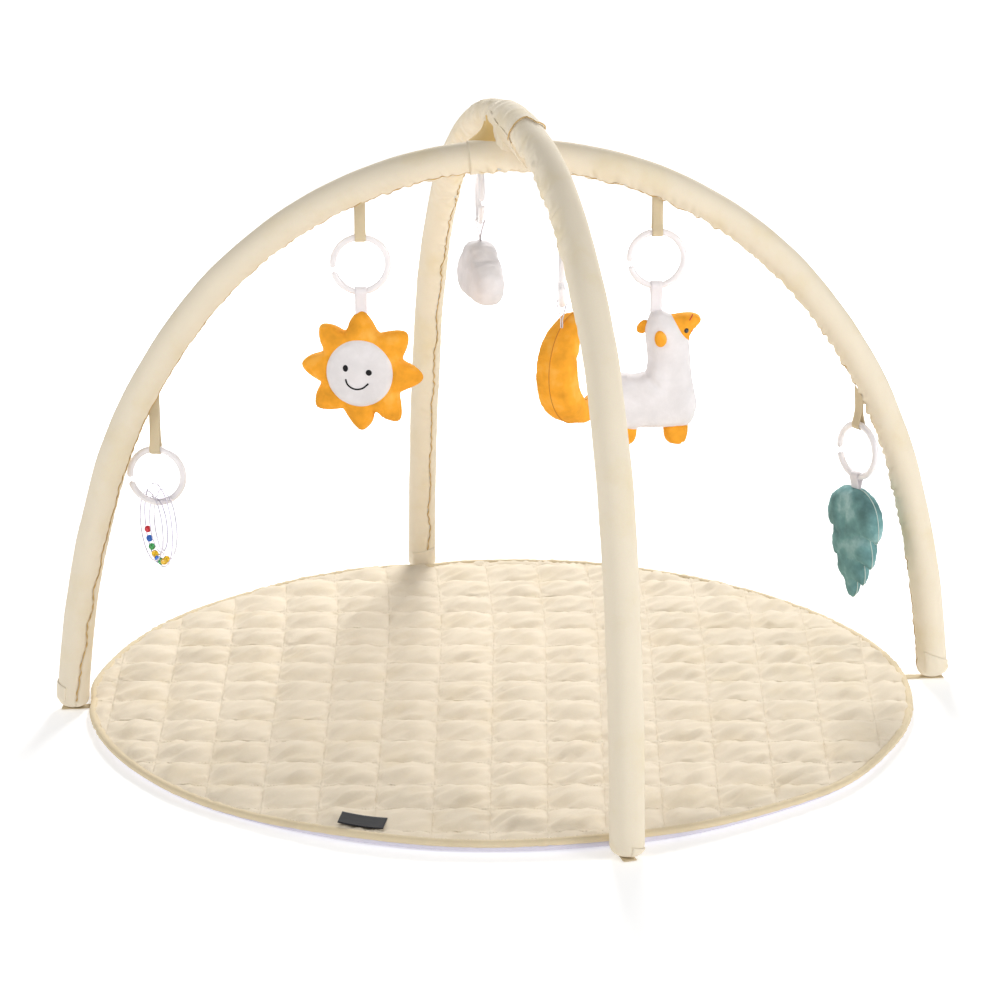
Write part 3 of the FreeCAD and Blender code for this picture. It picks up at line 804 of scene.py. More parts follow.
def stitches(centres, along, length, width, height):
    """Many little lozenges of six corners each, pointed along, as (points, faces)."""
    corner = np.array([(-length / 2, 0, 0), (length / 2, 0, 0), (0, -width / 2, 0), (0, width / 2, 0),
                       (0, 0, height), (0, 0, -height)])
    faces = [(0, 2, 4), (2, 1, 4), (1, 3, 4), (3, 0, 4), (2, 0, 5), (1, 2, 5), (3, 1, 5), (0, 3, 5)]
    up = np.broadcast_to([0.0, 0.0, 1.0], along.shape)
    ways = (along, unit(np.cross(up, along)), up)
    points = centres[:, None] + sum(corner[None, :, n:n + 1] * ways[n][:, None] for n in range(3))
    numbers = np.arange(len(centres))[:, None, None] * 6 + np.array(faces)
    return points.reshape(-1, 3), numbers.reshape(-1, 3)


def make_quilting(tree):
    """The quilting thread, stitch by stitch along every seam of the cover."""
    centres, directions = [], []
    line = np.linspace(-QUILT_REACH, QUILT_REACH, 400)
    for n in range(-QUILT_REACH, QUILT_REACH + 1):
        for path in (quilt_point(n + 0 * line, line), quilt_point(line, n + 0 * line)):
            path = path[np.linalg.norm(path - MAT_AT, axis=1) < COVER_R - 4 * MM]
            if len(path) > 8:
                run = length_along(path)
                middles = places_on(path, run, np.arange(1.5 * MM, run[-1], 3.0 * MM))
                points = drop_on(tree, middles, 0.05 * MM)
                centres.append(points)
                directions.append(unit(np.gradient(points, axis=0)))
    shape = stitches(np.concatenate(centres), np.concatenate(directions), 2.3 * MM, 0.55 * MM, 0.3 * MM)
    mesh("quilting_stitches", shape, THREAD, "mat")


def make_wadding(tree):
    """The wadding under the cover, which shares its seams."""
    _, _, xy, faces, rim = quilt_grid(WADDING_CELL)
    top = drop_on(tree, xy)
    top[rim, :2] = MAT_AT + (xy[rim] - MAT_AT) * 0.985
    low = 3.2 * MM + np.where(rim, 1.0 * MM, 0.0)
    top[:, 2] = np.maximum(np.minimum(top[:, 2], 13.5 * MM) - low, 5.2 * MM)
    bottom = np.column_stack([top[:, :2], np.full(len(top), 4.6 * MM)])
    count = len(xy)
    all_faces = faces.tolist() + (faces[:, ::-1] + count).tolist()
    edges = {(a, b) for f in faces.tolist() for a, b in zip(f, f[1:] + f[:1])}
    all_faces += [[b, a, a + count, b + count] for a, b in sorted(edges) if (b, a) not in edges]
    mesh("wadding_layer", (np.concatenate([top, bottom]), all_faces), WADDING, "mat",
         ["mat_padding"])


# the backing from its middle, round the mat's edge and in again on top of the floor side:
# (inset from the edge, height) in mm
BACKING_SECTION = [(427, 0.2), (120, 0.2), (20, 0.2), (10, 0.4), (5, 1.4), (2.8, 3.0), (2.6, 4.6),
                   (7.5, 5.2), (20, 4.4), (120, 4.2), (427, 4.2)]
BINDING_SECTION = [(-4.2, -0.9), (-4.3, 0.6), (-3.2, 1.9), (-1.2, 2.6), (1.2, 2.5), (3.0, 1.4), (3.7, -0.2),
                   (3.6, -2.2), (2.6, -3.4), (0.4, -3.6), (-2.4, -3.2)]


def make_rim():
    """The white backing, and the bias binding that closes the mat's edge."""
    angle = round_turn(720)
    round_xy = np.stack([np.cos(angle), np.sin(angle)], 1)
    ripple = waves(round_xy * MAT_R, 0.011, 32) * (0.35 + 0.65 * (waves(round_xy, 0.5, 33) > 0.1))
    reach, rise = edge_reach(angle), edge_rise(angle)
    backing, binding = [], []
    for inset, z in BACKING_SECTION:
        near = np.clip((25 - inset) / 20, 0, 1)
        r = np.maximum(reach - inset * MM + near * 1.4 * MM * front_share(angle), 0)
        height = z * MM + near * np.clip((z - 0.6) / 3, 0, 1) * rise
        backing.append(np.column_stack([MAT_AT + round_xy * r[:, None], height]))
    for a, b in BINDING_SECTION:
        r = reach + (a - 3.7) * MM + 0.5 * MM * ripple * np.clip((a + 3) / 5, 0, 1)
        height = (7.6 + b) * MM + rise + 0.35 * MM * ripple * (b > 0)
        binding.append(np.column_stack([MAT_AT + round_xy * r[:, None], height]))
    obj = mesh("backing_cloth", shell(np.array(backing), False, True, True), UNDERSIDE, "mat",
               ["mat_backing"])
    mesh("bias_binding", shell(np.array(binding), True, True, True), BINDING, "mat",
         ["mat_binding"])
    at = np.arange(0, TAU, 3.4 * MM / MAT_R)
    r = np.interp(at, angle, reach - 6.4 * MM)
    centres = np.stack([MAT_AT[0] + r * np.cos(at), MAT_AT[1] + r * np.sin(at),
                        np.interp(at, angle, rise + 9.7 * MM)], 1)
    shape = stitches(centres, np.stack([-np.sin(at), np.cos(at), 0 * at], 1), 2.4 * MM, 0.7 * MM, 0.45 * MM)
    mesh("binding_stitches", shape, THREAD, "mat", slot="beige_tape")


def make_label(tree):
    """A blank woven label, sewn on near the front edge."""
    u, v = grid_of(np.linspace(-1, 1, 25), np.linspace(-1, 1, 15))
    local = np.stack([u * 21.0 * MM, -v * 10.5 * MM, 0 * u], -1)
    top = drop_on(tree, turned(local, LABEL_TURN)[..., :2] + LABEL_AT)
    u, v = u.ravel(), v.ravel()
    fit = np.stack([u ** 0, u, v, u ** 2, v ** 2], 1)
    sheet = fit @ np.linalg.lstsq(fit, top[:, 2], rcond=None)[0]
    top[:, 2] = sheet + max((top[:, 2] - sheet).max(), 0) + 0.3 * MM
    top = top.reshape(*local.shape)
    mesh("blank_label", slab(top, top - [0, 0, 0.7 * MM]), LABEL, "mat", ["mat_label"])


def make_tabs():
    """The four short tapes that tie the arches' feet to the mat."""
    for word, (turn, foot) in FEET.items():
        x = np.linspace(0.4205, foot + 0.0115, 26)
        reach = (x - x[0]) / (x[-1] - x[0])
        height = 0.75 * MM + np.abs(0.35 * MM * np.sin(reach * 9 + turn))
        path = np.stack([x, 0.5 * MM * np.sin(reach * 5 + turn), height], 1)
        points, faces = sweep(path, tape_section(13.0 * MM, 1.1 * MM), (0, 0, 1))
        mesh("tab_" + word, (turned(points, turn), faces), LOOP_TAPE, "mat", ["mat_tab_" + word])


def make_mat():
    cover = cover_shape()
    mesh("quilted_cover", cover, QUILT, "mat", ["mat_top_cover"])
    tree = fabric_tree(*cover)
    make_quilting(tree)
    make_wadding(tree)
    make_rim()
    make_label(tree)
    make_tabs()


# ================================ the crossing ================================
# the cuff's two edges, as (degrees round the upper arch, mm along it)
CUFF_FRONT = [(-180, -38), (-140, -48), (-100, -60), (-60, -80), (-16, -88), (4, -73), (28, -74), (64, -76),
              (100, -68), (140, -50), (180, -38)]
CUFF_BACK = [(-180, 26), (-120, 40), (-60, 22), (0, 9), (52, 16), (112, 46), (150, 38), (180, 26)]
# how the hub between the two tubes swells: (height, share of its radius)
HUB = [(0.566, 1.0), (0.577, 1.04), (0.583, 0.98), (0.589, 1.04), (0.600, 1.0)]


def edge_at(pairs, theta):
    degrees, lengths = zip(*pairs)
    return np.interp(np.degrees(angle_gap(theta, 0.0)), degrees, lengths) * MM


def band(name, sleeve, s, theta, outer_lift, inner_lift, body, replaces, flip=False):
    """A thick band of cloth round a sleeve; gives back its outer grid of points."""
    outer = sleeve.surface(s, theta, outer_lift)
    grid = np.concatenate([outer, sleeve.surface(s, theta, inner_lift)[:, ::-1]], 1)
    uv = np.stack([theta * TUBE_R, s], -1).repeat(2, 1)
    mesh(name, shell(grid, True, True, flip), COTTON, body, replaces, uv)
    return outer


def make_cuff():
    """The cuff sewn round the upper arch at the crossing, with turned edges."""
    theta, v = grid_of(round_turn(120) - math.pi, np.linspace(0, 1, 44))
    front, back = edge_at(CUFF_FRONT, theta), edge_at(CUFF_BACK, theta)
    s = front + (back - front) * v
    place = np.stack([s, theta * TUBE_R * 0.35], -1)
    folds = 1.4 * MM * facing(theta, 85, 0.75, 4) * waves(place, 0.022, 41) * np.sin(math.pi * v) ** 0.5
    proud = 1.2 * MM * facing(theta, -75, 0.45) * (1 - v) ** 3
    lift = 1.0 * MM + 0.5 * MM * (bell(v, 0.05) + bell(1 - v, 0.05)) + np.maximum(folds, -0.5 * MM) + proud
    lift += 0.25 * MM * waves(place, 0.012, 42)
    outer = band("crossing_cuff", UPPER_SLEEVE, s, theta, lift, 0.15 * MM + 0.6 * proud, "upper_arch",
                 ["crossing_band"])
    middle = UPPER_SLEEVE.arch.at(s[:, 0])[0]
    path = outer[:, 0] + 0.1 * MM * unit(outer[:, 0] - middle)
    mesh("cuff_edge", sweep(path, round_section(0.62 * MM, 8), path - middle, True), SEAM, "upper_arch")


def make_wrap():
    """The wrap sewn round the lower arch, under the cuff."""
    theta, v = grid_of(round_turn(96), np.linspace(0, 1, 36))
    s = -0.041 + 0.066 * v
    sag = np.maximum(waves((s, theta * TUBE_R * 0.4), 0.024, 51), -0.4) * np.sin(math.pi * v)
    lift = 0.75 * MM + 1.6 * MM * facing(theta, -150, 0.6) * sag + 0.35 * MM * bell(v, 0.03)
    lift *= np.clip((1 - v) / 0.1, 0, 1) ** 0.5
    band("crossing_wrap", LOWER_SLEEVE, s, theta, lift + 0.1 * MM, 0.05 * MM, "lower_arch",
         ["crossing_patch"], True)


def across_joint(name, shape, used):
    """A piece of cloth that goes from one arch to the other."""
    obj = mesh(name, shape, used, None)
    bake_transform(obj)


def bent_sheet(top, bottom, bulge, folds=0.0):
    """A sheet between two curves, bowed and folded along an offset."""
    v = np.linspace(0, 1, 22)[:, None, None]
    bow = np.sin(math.pi * v)
    grid = top * (1 - v) + bottom * v + bulge * bow
    if folds:
        wave = waves((v[..., 0] * 0.03, 0.3 * grid[..., 2]), 0.008, 81)
        grid = grid + folds * wave[..., None] * unit(bulge) * bow ** 0.5
    half = unit(np.cross(np.gradient(grid, axis=0), np.gradient(grid, axis=1))) * 0.4 * MM
    return slab(grid + half, grid - half)


def curve_on(sleeve, pairs, count, lift):
    """A curve over a sleeve through (length mm, degrees) pairs."""
    t = np.linspace(0, len(pairs) - 1, count)
    lengths, degrees = (np.interp(t, range(len(pairs)), values) for values in zip(*pairs))
    return sleeve.surface(lengths * MM, np.radians(degrees), lift)


def make_gusset():
    """The cloth that joins the cuff to the wrap: a skirt in front, a gusset and a hub."""
    top = curve_on(UPPER_SLEEVE, [(14, 66), (-20, 92), (-66, 104)], 46, 1.2 * MM)
    bottom = curve_on(LOWER_SLEEVE, [(-8, -36), (4, -80), (16, -130)], 46, 1.5 * MM)
    skirt = bent_sheet(top, bottom, np.array([-3.0, -4.5, 0.5]) * MM, 0.8 * MM)
    across_joint("crossing_skirt", skirt, COTTON)
    # the gusset between the arches is drawn in the painted shade cotton, darker than the cream around it
    top = curve_on(UPPER_SLEEVE, [(14, 60), (26, 80), (46, 118)], 26, 0.4 * MM)
    bottom = curve_on(LOWER_SLEEVE, [(-10, -30), (-24, -18), (-40, 8)], 26, 0.4 * MM)
    across_joint("crossing_gusset", bent_sheet(top, bottom, np.array([3.0, 2.0, 0.0]) * MM), GUSSET_SHADE)
    a = round_turn(72)
    x, y = (np.sign(w) * np.abs(w) ** 0.8 for w in (np.cos(a), np.sin(a)))
    hub = []
    for z, grow in HUB:
        r = 15.5 * MM * grow * (1 + 0.03 * waves((a + z * 40, 0 * a + z * 40), 0.5, 91))
        hub.append(np.stack([r * x, r * y, 0 * a + z], 1))
    across_joint("crossing_hub", shell(np.array(hub), False, True), COTTON)


# ================================ loops, rings and ribbons ================================
def hung(name, local, z, toy_side=False):
    """Local points about a height on a toy's hanging line, set in place."""
    arch_turn, along, _, ring_turn, toy_turn, _, _ = HANGERS[name]
    line = turned(np.array([along, 0.0, z]), arch_turn)
    return turned(local, toy_turn if toy_side else ring_turn) + line


def strap(width, length, direction, spread, twist=0.0):
    """A tape folded round a wire at the origin, its two plies going up (1) or down (-1)."""
    r, h = 4.6 * MM, 13.0 * MM
    t = math.acos(r / h)
    ends = [(spread * MM, length), (spread * MM, (length + h) / 2), (0.6 * MM, h + 1.5 * MM)]
    bend = [(r * math.sin(a), r * math.cos(a)) for a in np.linspace(t, TAU - t, 15)]
    yz = smooth_path(ends + bend + [(-y, z) for y, z in ends[::-1]], 2) * [1, direction]
    path = np.stack([0 * yz[:, 0], yz[:, 0], yz[:, 1]], 1)
    up = np.cross(np.array([1.0, 0, 0]), unit(np.gradient(path, axis=0)))
    swept, faces = sweep(path, tape_section(width, 0.9 * MM), up)
    share = np.clip((np.abs(swept[:, 2]) - 0.006) / (length - 0.006), 0, 1)
    angle = np.radians(twist) * share ** 2
    x, y = swept[:, 0].copy(), swept[:, 1].copy()
    swept[:, 0] = x * np.cos(angle) - y * np.sin(angle)
    swept[:, 1] = x * np.sin(angle) + y * np.cos(angle)
    return swept, faces


def under_arch(name, along):
    """The height of an arch's underside over places along it, near a toy's hanging line."""
    arch_turn, hung_at = HANGERS[name][:2]
    arch = (UPPER_SLEEVE if arch_turn else LOWER_SLEEVE).arch
    centre, out = arch.at(np.linspace(0, 0.75 * arch.half, 3000) * math.copysign(1, hung_at))
    low = turned(centre - TUBE_R * out, -arch_turn)
    low = low[np.argsort(low[:, 0])]
    return np.interp(along, low[:, 0], low[:, 2])


def make_hanger(name):
    """The loop on the arch, the C-shaped ring, and the ribbon of a toy that has one."""
    arch_turn, along, ring_z, _, _, drop, top = HANGERS[name]
    reach = under_arch(name, along) + 12 * MM - (ring_z + RING_R)
    points, faces = strap(11.0 * MM, reach, 1, 0.9, LOOP_TWIST.get(name, 0.0))
    points = hung(name, points, ring_z + RING_R)
    roof = under_arch(name, turned(points, -arch_turn)[:, 0]) + 1.5 * MM
    points[:, 2] = np.minimum(points[:, 2], roof)
    arch_body = "upper_arch" if arch_turn else "lower_arch"
    mesh("tape_loop_" + name, (points, faces), LOOP_TAPE, arch_body, ["loop_" + name])
    angle = np.radians(np.linspace(194, 194 + 352, 181))
    path = np.stack([RING_R * np.cos(angle), 0 * angle, RING_R * np.sin(angle)], 1)
    end = np.minimum(angle - angle[0], angle[-1] - angle) * RING_R
    size = np.sqrt(np.clip(1 - np.clip(1 - end / WIRE_R, 0, 1) ** 2, 0.0004, 1))
    points, faces = sweep(path, round_section(WIRE_R, 20), path, scale=size)
    mesh("c_ring_" + name, (hung(name, points, ring_z), faces), RING_PLASTIC, name + "_ring",
         ["ring_" + name])
    if top is not None:
        points, faces = strap(12.0 * MM, drop - top - RING_R + 4 * MM, -1, 0.8)
        mesh("toy_ribbon_" + name, (hung(name, points, ring_z - RING_R), faces), SATIN, name + "_toy",
             [name + "_ribbon"])


# ================================ soft toys ================================
def in_loop(points, loop):
    """Which points are inside a closed outline."""
    x, z = points[:, 0][:, None], points[:, 1][:, None]
    x0, z0 = loop[:, 0], loop[:, 1]
    x1, z1 = np.roll(x0, -1), np.roll(z0, -1)
    spans = (z0 > z) != (z1 > z)
    rise = np.where(z1 == z0, 1e-12, z1 - z0)
    return ((spans & (x < (x1 - x0) * (z - z0) / rise + x0)).sum(1) % 2) == 1


def panel(outline, step, marks):
    """Triangles over an outline, with the marks as edges: (x and z, triangles, rim count)."""
    rim = spaced_loop(outline, step)
    lines, edges, start = [rim], [], len(rim)
    for mark in marks:
        run = length_along(mark)
        line = places_on(mark, run, np.linspace(0, run[-1], max(int(run[-1] / step), 2) + 1))
        line = line[in_loop(line, rim)]
        edges += [(start + k, start + k + 1) for k in range(len(line) - 1)]
        start += len(line)
        lines.append(line)
    fixed = np.concatenate(lines)
    low, high = rim.min(0), rim.max(0)
    gx, gz = np.meshgrid(np.arange(low[0], high[0], step), np.arange(low[1], high[1], 0.866 * step))
    gx[1::2] += step / 2
    inner = np.stack([gx.ravel(), gz.ravel()], 1)
    inner = inner[in_loop(inner, rim)]
    near = np.linalg.norm(inner[:, None] - fixed[None], axis=2).min(1)
    flat = np.concatenate([fixed, inner[near > 0.65 * step]])
    result = delaunay_2d_cdt([Vector(p) for p in flat.tolist()], edges, [list(range(len(rim)))], 1, 1e-9)
    return np.array([tuple(p) for p in result[0]]), np.array([list(f) for f in result[2]]), len(rim)


def membrane(flat, triangles, rim_count):
    """The height of a membrane blown up over the panel, 0 at its rim and 1 at its top."""
    count = len(flat)
    link_to = np.zeros((count, count), bool)
    for a, b in ((0, 1), (1, 2), (2, 0)):
        link_to[triangles[:, a], triangles[:, b]] = True
        link_to[triangles[:, b], triangles[:, a]] = True
    inner = slice(rim_count, count)
    matrix = -link_to[inner, inner].astype(float)
    matrix[np.diag_indices(count - rim_count)] = link_to[inner].sum(1)
    height = np.zeros(count)
    height[inner] = np.linalg.solve(matrix, np.ones(count - rim_count))
    return height / height.max()


def stuffed(outline, thick, seed, step=PANEL_STEP, marks=(), pucker=0.55 * MM, creases=(), full=2.0):
    """Two stuffed panels sewn round an outline in the X-Z plane: (points, faces, is_front).

    A crease is (x0, z0, x1, z1, depth, width) in mm, and fades towards its second point.
    """
    flat, triangles, rim_count = panel(outline, step, marks)
    y = thick / 2 * (1 - (1 - np.sqrt(membrane(flat, triangles, rim_count))) ** full)
    gap = np.linalg.norm(flat[:, None] - flat[None, :rim_count], axis=2)
    near, gap = gap.argmin(1), gap.min(1)
    turn = near / rim_count * TAU
    around = np.stack([np.cos(turn), np.sin(turn)], 1) * rim_count * step / TAU
    wrinkle = waves(around, 0.010, seed) * np.exp(-gap / 0.007) * gap / (gap + 0.0012)
    soft = waves(flat, 0.030, seed + 1) * np.minimum(gap / 0.010, 1)
    sides = []
    for sign, shift in ((-1, 0), (1, 2)):
        bump = pucker * (wrinkle * 1.4 + waves(around + shift, 0.013, seed + 3) * np.exp(-gap / 0.006) * 0.4)
        side = y + bump * (gap > 0.5 * MM) + 0.7 * pucker * soft
        for x0, z0, x1, z1, depth, width in creases:
            a, b = np.array([x0, z0]) * MM, np.array([x1, z1]) * MM
            t = np.clip(((flat - a) @ (b - a)) / ((b - a) @ (b - a)), 0, 1)
            off = np.linalg.norm(flat - a - t[:, None] * (b - a), axis=1)
            side = side - depth * MM * bell(off, width * MM) * (1 - 0.6 * t)
        side = np.where(np.arange(len(flat)) < rim_count, 0, np.maximum(side, 0.3 * MM))
        sides.append(np.stack([flat[:, 0], sign * side, flat[:, 1]], 1))
    points = np.concatenate([sides[0], sides[1][rim_count:]])
    number = np.concatenate([np.arange(rim_count), np.arange(len(flat), len(points))])
    # a triangle with all three corners on the rim would have its back on its front
    triangles = triangles[(triangles >= rim_count).any(1)]
    faces = np.concatenate([triangles, number[triangles][:, ::-1]])
    return *split(points, faces, np.full(len(faces), True)), np.arange(len(faces)) < len(triangles)


def seam_thread(rim, sides):
    """The seam round a toy's outline."""
    loop = spaced_loop(rim, PANEL_STEP)
    path = np.stack([loop[:, 0], 0 * loop[:, 0], loop[:, 1]], 1)
    return sweep(path, round_section(0.5 * MM, sides), (0, 1, 0), True)


def against(tree, xz, lift, front=True):
    """Points of x and z laid on a toy's front or back."""
    sign = -1 if front else 1
    out = []
    for x, z in np.asarray(xz, float).reshape(-1, 2).tolist():
        hit = tree.ray_cast(Vector((x, sign * 0.2, z)), Vector((0, -sign, 0)))[0]
        out.append((x, (hit.y if hit else 0.0) + sign * lift, z))
    return np.array(out)


def thread_line(tree, xz, radius, front=True):
    """A satin-stitched line on a toy, through points in mm, as a low rounded ridge."""
    path = against(tree, smooth_path(np.array(xz) * MM, 3), 0.1 * MM, front)
    return sweep(path, round_section(radius, 10, 0.7), (0, -1 if front else 1, 0))


def pad_disc(tree, x, z, rx, rz, rise, front=True):
    """A small domed disc of stitching on a toy, placed in mm."""
    a = round_turn(24)
    points = [against(tree, [(x * MM, z * MM)], rise * MM, front)]
    for k in np.sin(np.linspace(0, 1, 7)[1:] * math.pi / 2):
        xz = np.stack([x + rx * k * np.cos(a), z + rz * k * np.sin(a)], 1) * MM
        points.append(against(tree, xz, (rise * math.sqrt(1 - 0.96 * k * k) - 0.15 * k) * MM, front))
    faces = [[0, 1 + (n + 1) % 24, 1 + n] for n in range(24)]
    for start in range(1, 121, 24):
        faces += [[start + n, start + (n + 1) % 24, start + 24 + (n + 1) % 24, start + 24 + n]
                  for n in range(24)]
    return np.concatenate(points), faces


def toy(name, shape, used, replaces=()):
    """A toy's piece, whose name starts with the toy's, out of points about the toy's middle."""
    hanger = name.split("_")[0]
    _, _, ring_z, _, _, drop, _ = HANGERS[hanger]
    points = hung(hanger, shape[0], ring_z - drop, True)
    return mesh(name, (points, shape[1]), used, hanger + "_toy", replaces)


def make_sun():
    tips = [(0, 61), (49, 61), (94, 62), (143, 61.5), (181, 60.5), (231, 60), (275, 61), (318, 61), (360, 61)]
    pairs, creases = [], []
    for (tip, r), (after, _) in zip(tips, tips[1:]):
        valley = (tip + after) / 2
        pairs += [(tip - 6.0, r - 1.5), (tip, r + 2.2), (tip + 6.0, r - 1.5)]
        pairs += [(tip + 13.0, 53.0), (valley - 1.5, 44.6), (valley + 1.5, 44.6), (after - 13.0, 53.0)]
        x, up = math.sin(math.radians(valley)), math.cos(math.radians(valley))
        creases.append((46 * x, 46 * up, 35 * x, 35 * up, 2.6, 2.4))
    clockwise = [(r * math.sin(math.radians(a)) * MM, r * math.cos(math.radians(a)) * MM) for a, r in pairs]
    circle = np.array([(math.cos(t), math.sin(t)) for t in np.linspace(0, TAU, 91)]) * FACE_R
    points, faces, is_front = stuffed(smooth_loop(clockwise, 2), 29 * MM, 101, marks=[circle],
                                      creases=creases)
    r = np.hypot(points[:, 0], points[:, 2])
    front = points[:, 1] < 0
    points[:, 1] += np.where(front, 1.5 * MM * bell(r - FACE_R, 1.8 * MM), 0)
    dome = 0.9 * MM * np.sqrt(np.clip(1 - (r / FACE_R) ** 6, 0, 1))
    points[:, 1] -= np.where(front & (r < FACE_R), dome, 0)
    middle = points[faces].mean(1)
    face = is_front & (np.hypot(middle[:, 0], middle[:, 2]) < FACE_R)
    toy("sun_plush", split(points, faces, ~face), ORANGE_PLUSH, ["sun_body"])
    toy("sun_face_panel", split(points, faces, face), WHITE_PLUSH, ["sun_face"])
    tree = fabric_tree(points, faces)
    smile = [(-13.5, -5.5), (-12.5, -10.5), (-8.5, -14.5), (-2.5, -16.2), (4.0, -14.6), (8.0, -11.0),
             (9.6, -9.6)]
    parts = [pad_disc(tree, -13.6, 5.6, 2.7, 3.5, 1.1), pad_disc(tree, 10.2, 1.8, 3.1, 3.1, 1.1),
             thread_line(tree, smile, 0.85 * MM)]
    toy("sun_stitching", joined(parts), STITCH_BLACK, ["sun_features"])


def make_moon():
    outer = [(54 * math.cos(a), 54 * math.sin(a)) for a in np.radians(np.linspace(52, 308, 44))]
    hollow = [(20 + 43 * math.cos(a), 43 * math.sin(a)) for a in np.radians(np.linspace(289, 71, 32))]
    c, s = math.cos(math.radians(20)), math.sin(math.radians(20))
    rim = smooth_loop(np.array(outer + hollow) * MM @ np.array([[c, s], [-s, c]]) + [30 * MM, 0], 2)
    creases = [(4, 14, -10, 22, 1.4, 3.0), (2, -14, -12, -22, 1.1, 3.0), (24, -34, 20, -46, 1.0, 3.0)]
    toy("moon_plush", stuffed(rim, 36 * MM, 111, creases=creases, full=2.2), ORANGE_PLUSH, ["moon_body"])
    toy("moon_seam", seam_thread(rim, 6), ORANGE_EDGE)


def make_cloud():
    """Three round lobes on a flat base."""
    angle = np.radians(np.arange(0, 360, 4))
    way = np.stack([np.cos(angle), np.sin(angle)], 1)
    reach = np.zeros(len(angle))
    for x, up, r in ((0, 4, 32), (-30, -6, 24), (30, -6, 24)):
        b = way @ np.array([x, up], float)
        inside = np.maximum(b ** 2 - (x * x + up * up - r * r), 0)
        reach = np.maximum(reach, np.where(inside > 0, b + np.sqrt(inside), 0))
    outline = way * reach[:, None] * MM
    outline[:, 1] = np.maximum(outline[:, 1], -27 * MM)
    creases = [(-20, 24, -12, 10, 1.8, 3.2), (20, 24, 12, 10, 1.8, 3.2)]
    shape = stuffed(smooth_loop(outline, 1), 36 * MM, 121, creases=creases, full=2.2)
    toy("cloud_plush", shape, WHITE_PLUSH, ["cloud_body"])


def make_leaf():
    half = [(0, 61), (20, 60), (38, 48), (45, 28), (44, 6), (26, 18), (36, -4), (34, -24), (17, -10),
            (24, -28), (20, -44), (8, -34), (10, -50), (0, -61)]
    rim = smooth_loop(np.array(half + [(-x, y) for x, y in half[-2:0:-1]]) * MM, 3)
    creases = [(0, 50, 0, -48, 1.2, 2.2)]
    for side in (1, -1):
        creases += [(26 * side, 18, 8 * side, 10, 2.4, 2.2), (17 * side, -10, 5 * side, -14, 2.2, 2.0)]
    toy("leaf_plush", stuffed(rim, 28 * MM, 131, creases=creases), TEAL_PLUSH, ["leaf_body"])
    toy("leaf_seam", seam_thread(rim, 8), TEAL_EDGE)


# the llama's outline, going round from the top of its head, in mm from its hanging line
LLAMA = [(-4.3, -1.4), (2.0, 0.0), (7.7, -1.4), (15.3, -5.8), (23.9, -4.1), (31.5, -3.5), (39.1, -4.1),
         (44.5, -6.9), (47.0, -12.2), (44.5, -16.3), (39.1, -21.4), (35.7, -25.5), (34.2, -32.1),
         (35.3, -41.8), (36.4, -55.1), (37.4, -67.3), (40.2, -82.7), (42.9, -93.4), (43.8, -100.0),
         (42.3, -108.7), (38.1, -116.3), (34.7, -123.0), (23.5, -123.5), (7.7, -124.0), (-4.3, -123.0),
         (-18.4, -123.8), (-31.0, -125.0), (-43.0, -122.0), (-53.0, -111.0), (-56.0, -95.0), (-54.5, -79.0),
         (-48.0, -69.0), (-37.0, -64.5), (-25.0, -66.1), (-12.0, -66.1), (-8.7, -63.0), (-8.2, -52.0),
         (-9.2, -37.8), (-11.3, -28.1), (-10.8, -15.9), (-7.6, -7.1)]
MUZZLE_EDGE = [(13.0, -2.0), (16.3, -8.0), (20.0, -15.5), (24.5, -23.5), (29.5, -28.8), (34.5, -32.0),
               (38.0, -33.0)]
MUZZLE_CORNERS = [(60, -33), (60, 10), (13, 10)]
LLAMA_FEET = [(-45.5, -18.4), (8.7, 34.7)]
EAR = [(-3.0, 0.5), (2.6, 1.0), (6.4, -4.0), (7.0, -10.0), (3.0, -15.0), (-3.0, -15.2), (-6.0, -10.0),
       (-5.6, -4.5)]


def make_llama():
    edge = smooth_path(np.array(MUZZLE_EDGE) * MM, 2)
    creases = [(-10, -68, 2, -80, 3.2, 3.0), (4, -66, 26, -68, 0.9, 2.6), (2, -52, 20, -53, 0.5, 2.4)]
    points, faces, _ = stuffed(smooth_loop(np.array(LLAMA) * MM, 2), 38 * MM, 141, marks=[edge],
                               creases=creases, pucker=0.45 * MM)
    region = np.concatenate([edge, np.array(MUZZLE_CORNERS) * MM])
    muzzle = in_loop(points[faces].mean(1)[:, [0, 2]], region)
    toy("llama_plush", split(points, faces, ~muzzle), WHITE_PLUSH, ["llama_body"])
    toy("llama_snout", split(points, faces, muzzle), ORANGE_PLUSH, ["llama_muzzle"])
    tree = fabric_tree(points, faces)
    feet = []
    for n, (x0, x1) in enumerate(LLAMA_FEET):
        sole = [(x0, -117), (x1, -117), (x1 + 0.4, -129), (x1 - 1.5, -137), (x1 - 7, -141.6),
                (x0 + 8, -141.6), (x0 + 2, -136), (x0 + 0.5, -128)]
        feet.append(stuffed(smooth_loop(np.array(sole) * MM, 2), 24 * MM, 151 + n)[:2])
    toy("llama_soles", joined(feet), ORANGE_PLUSH, ["llama_feet"])
    make_llama_head(tree)


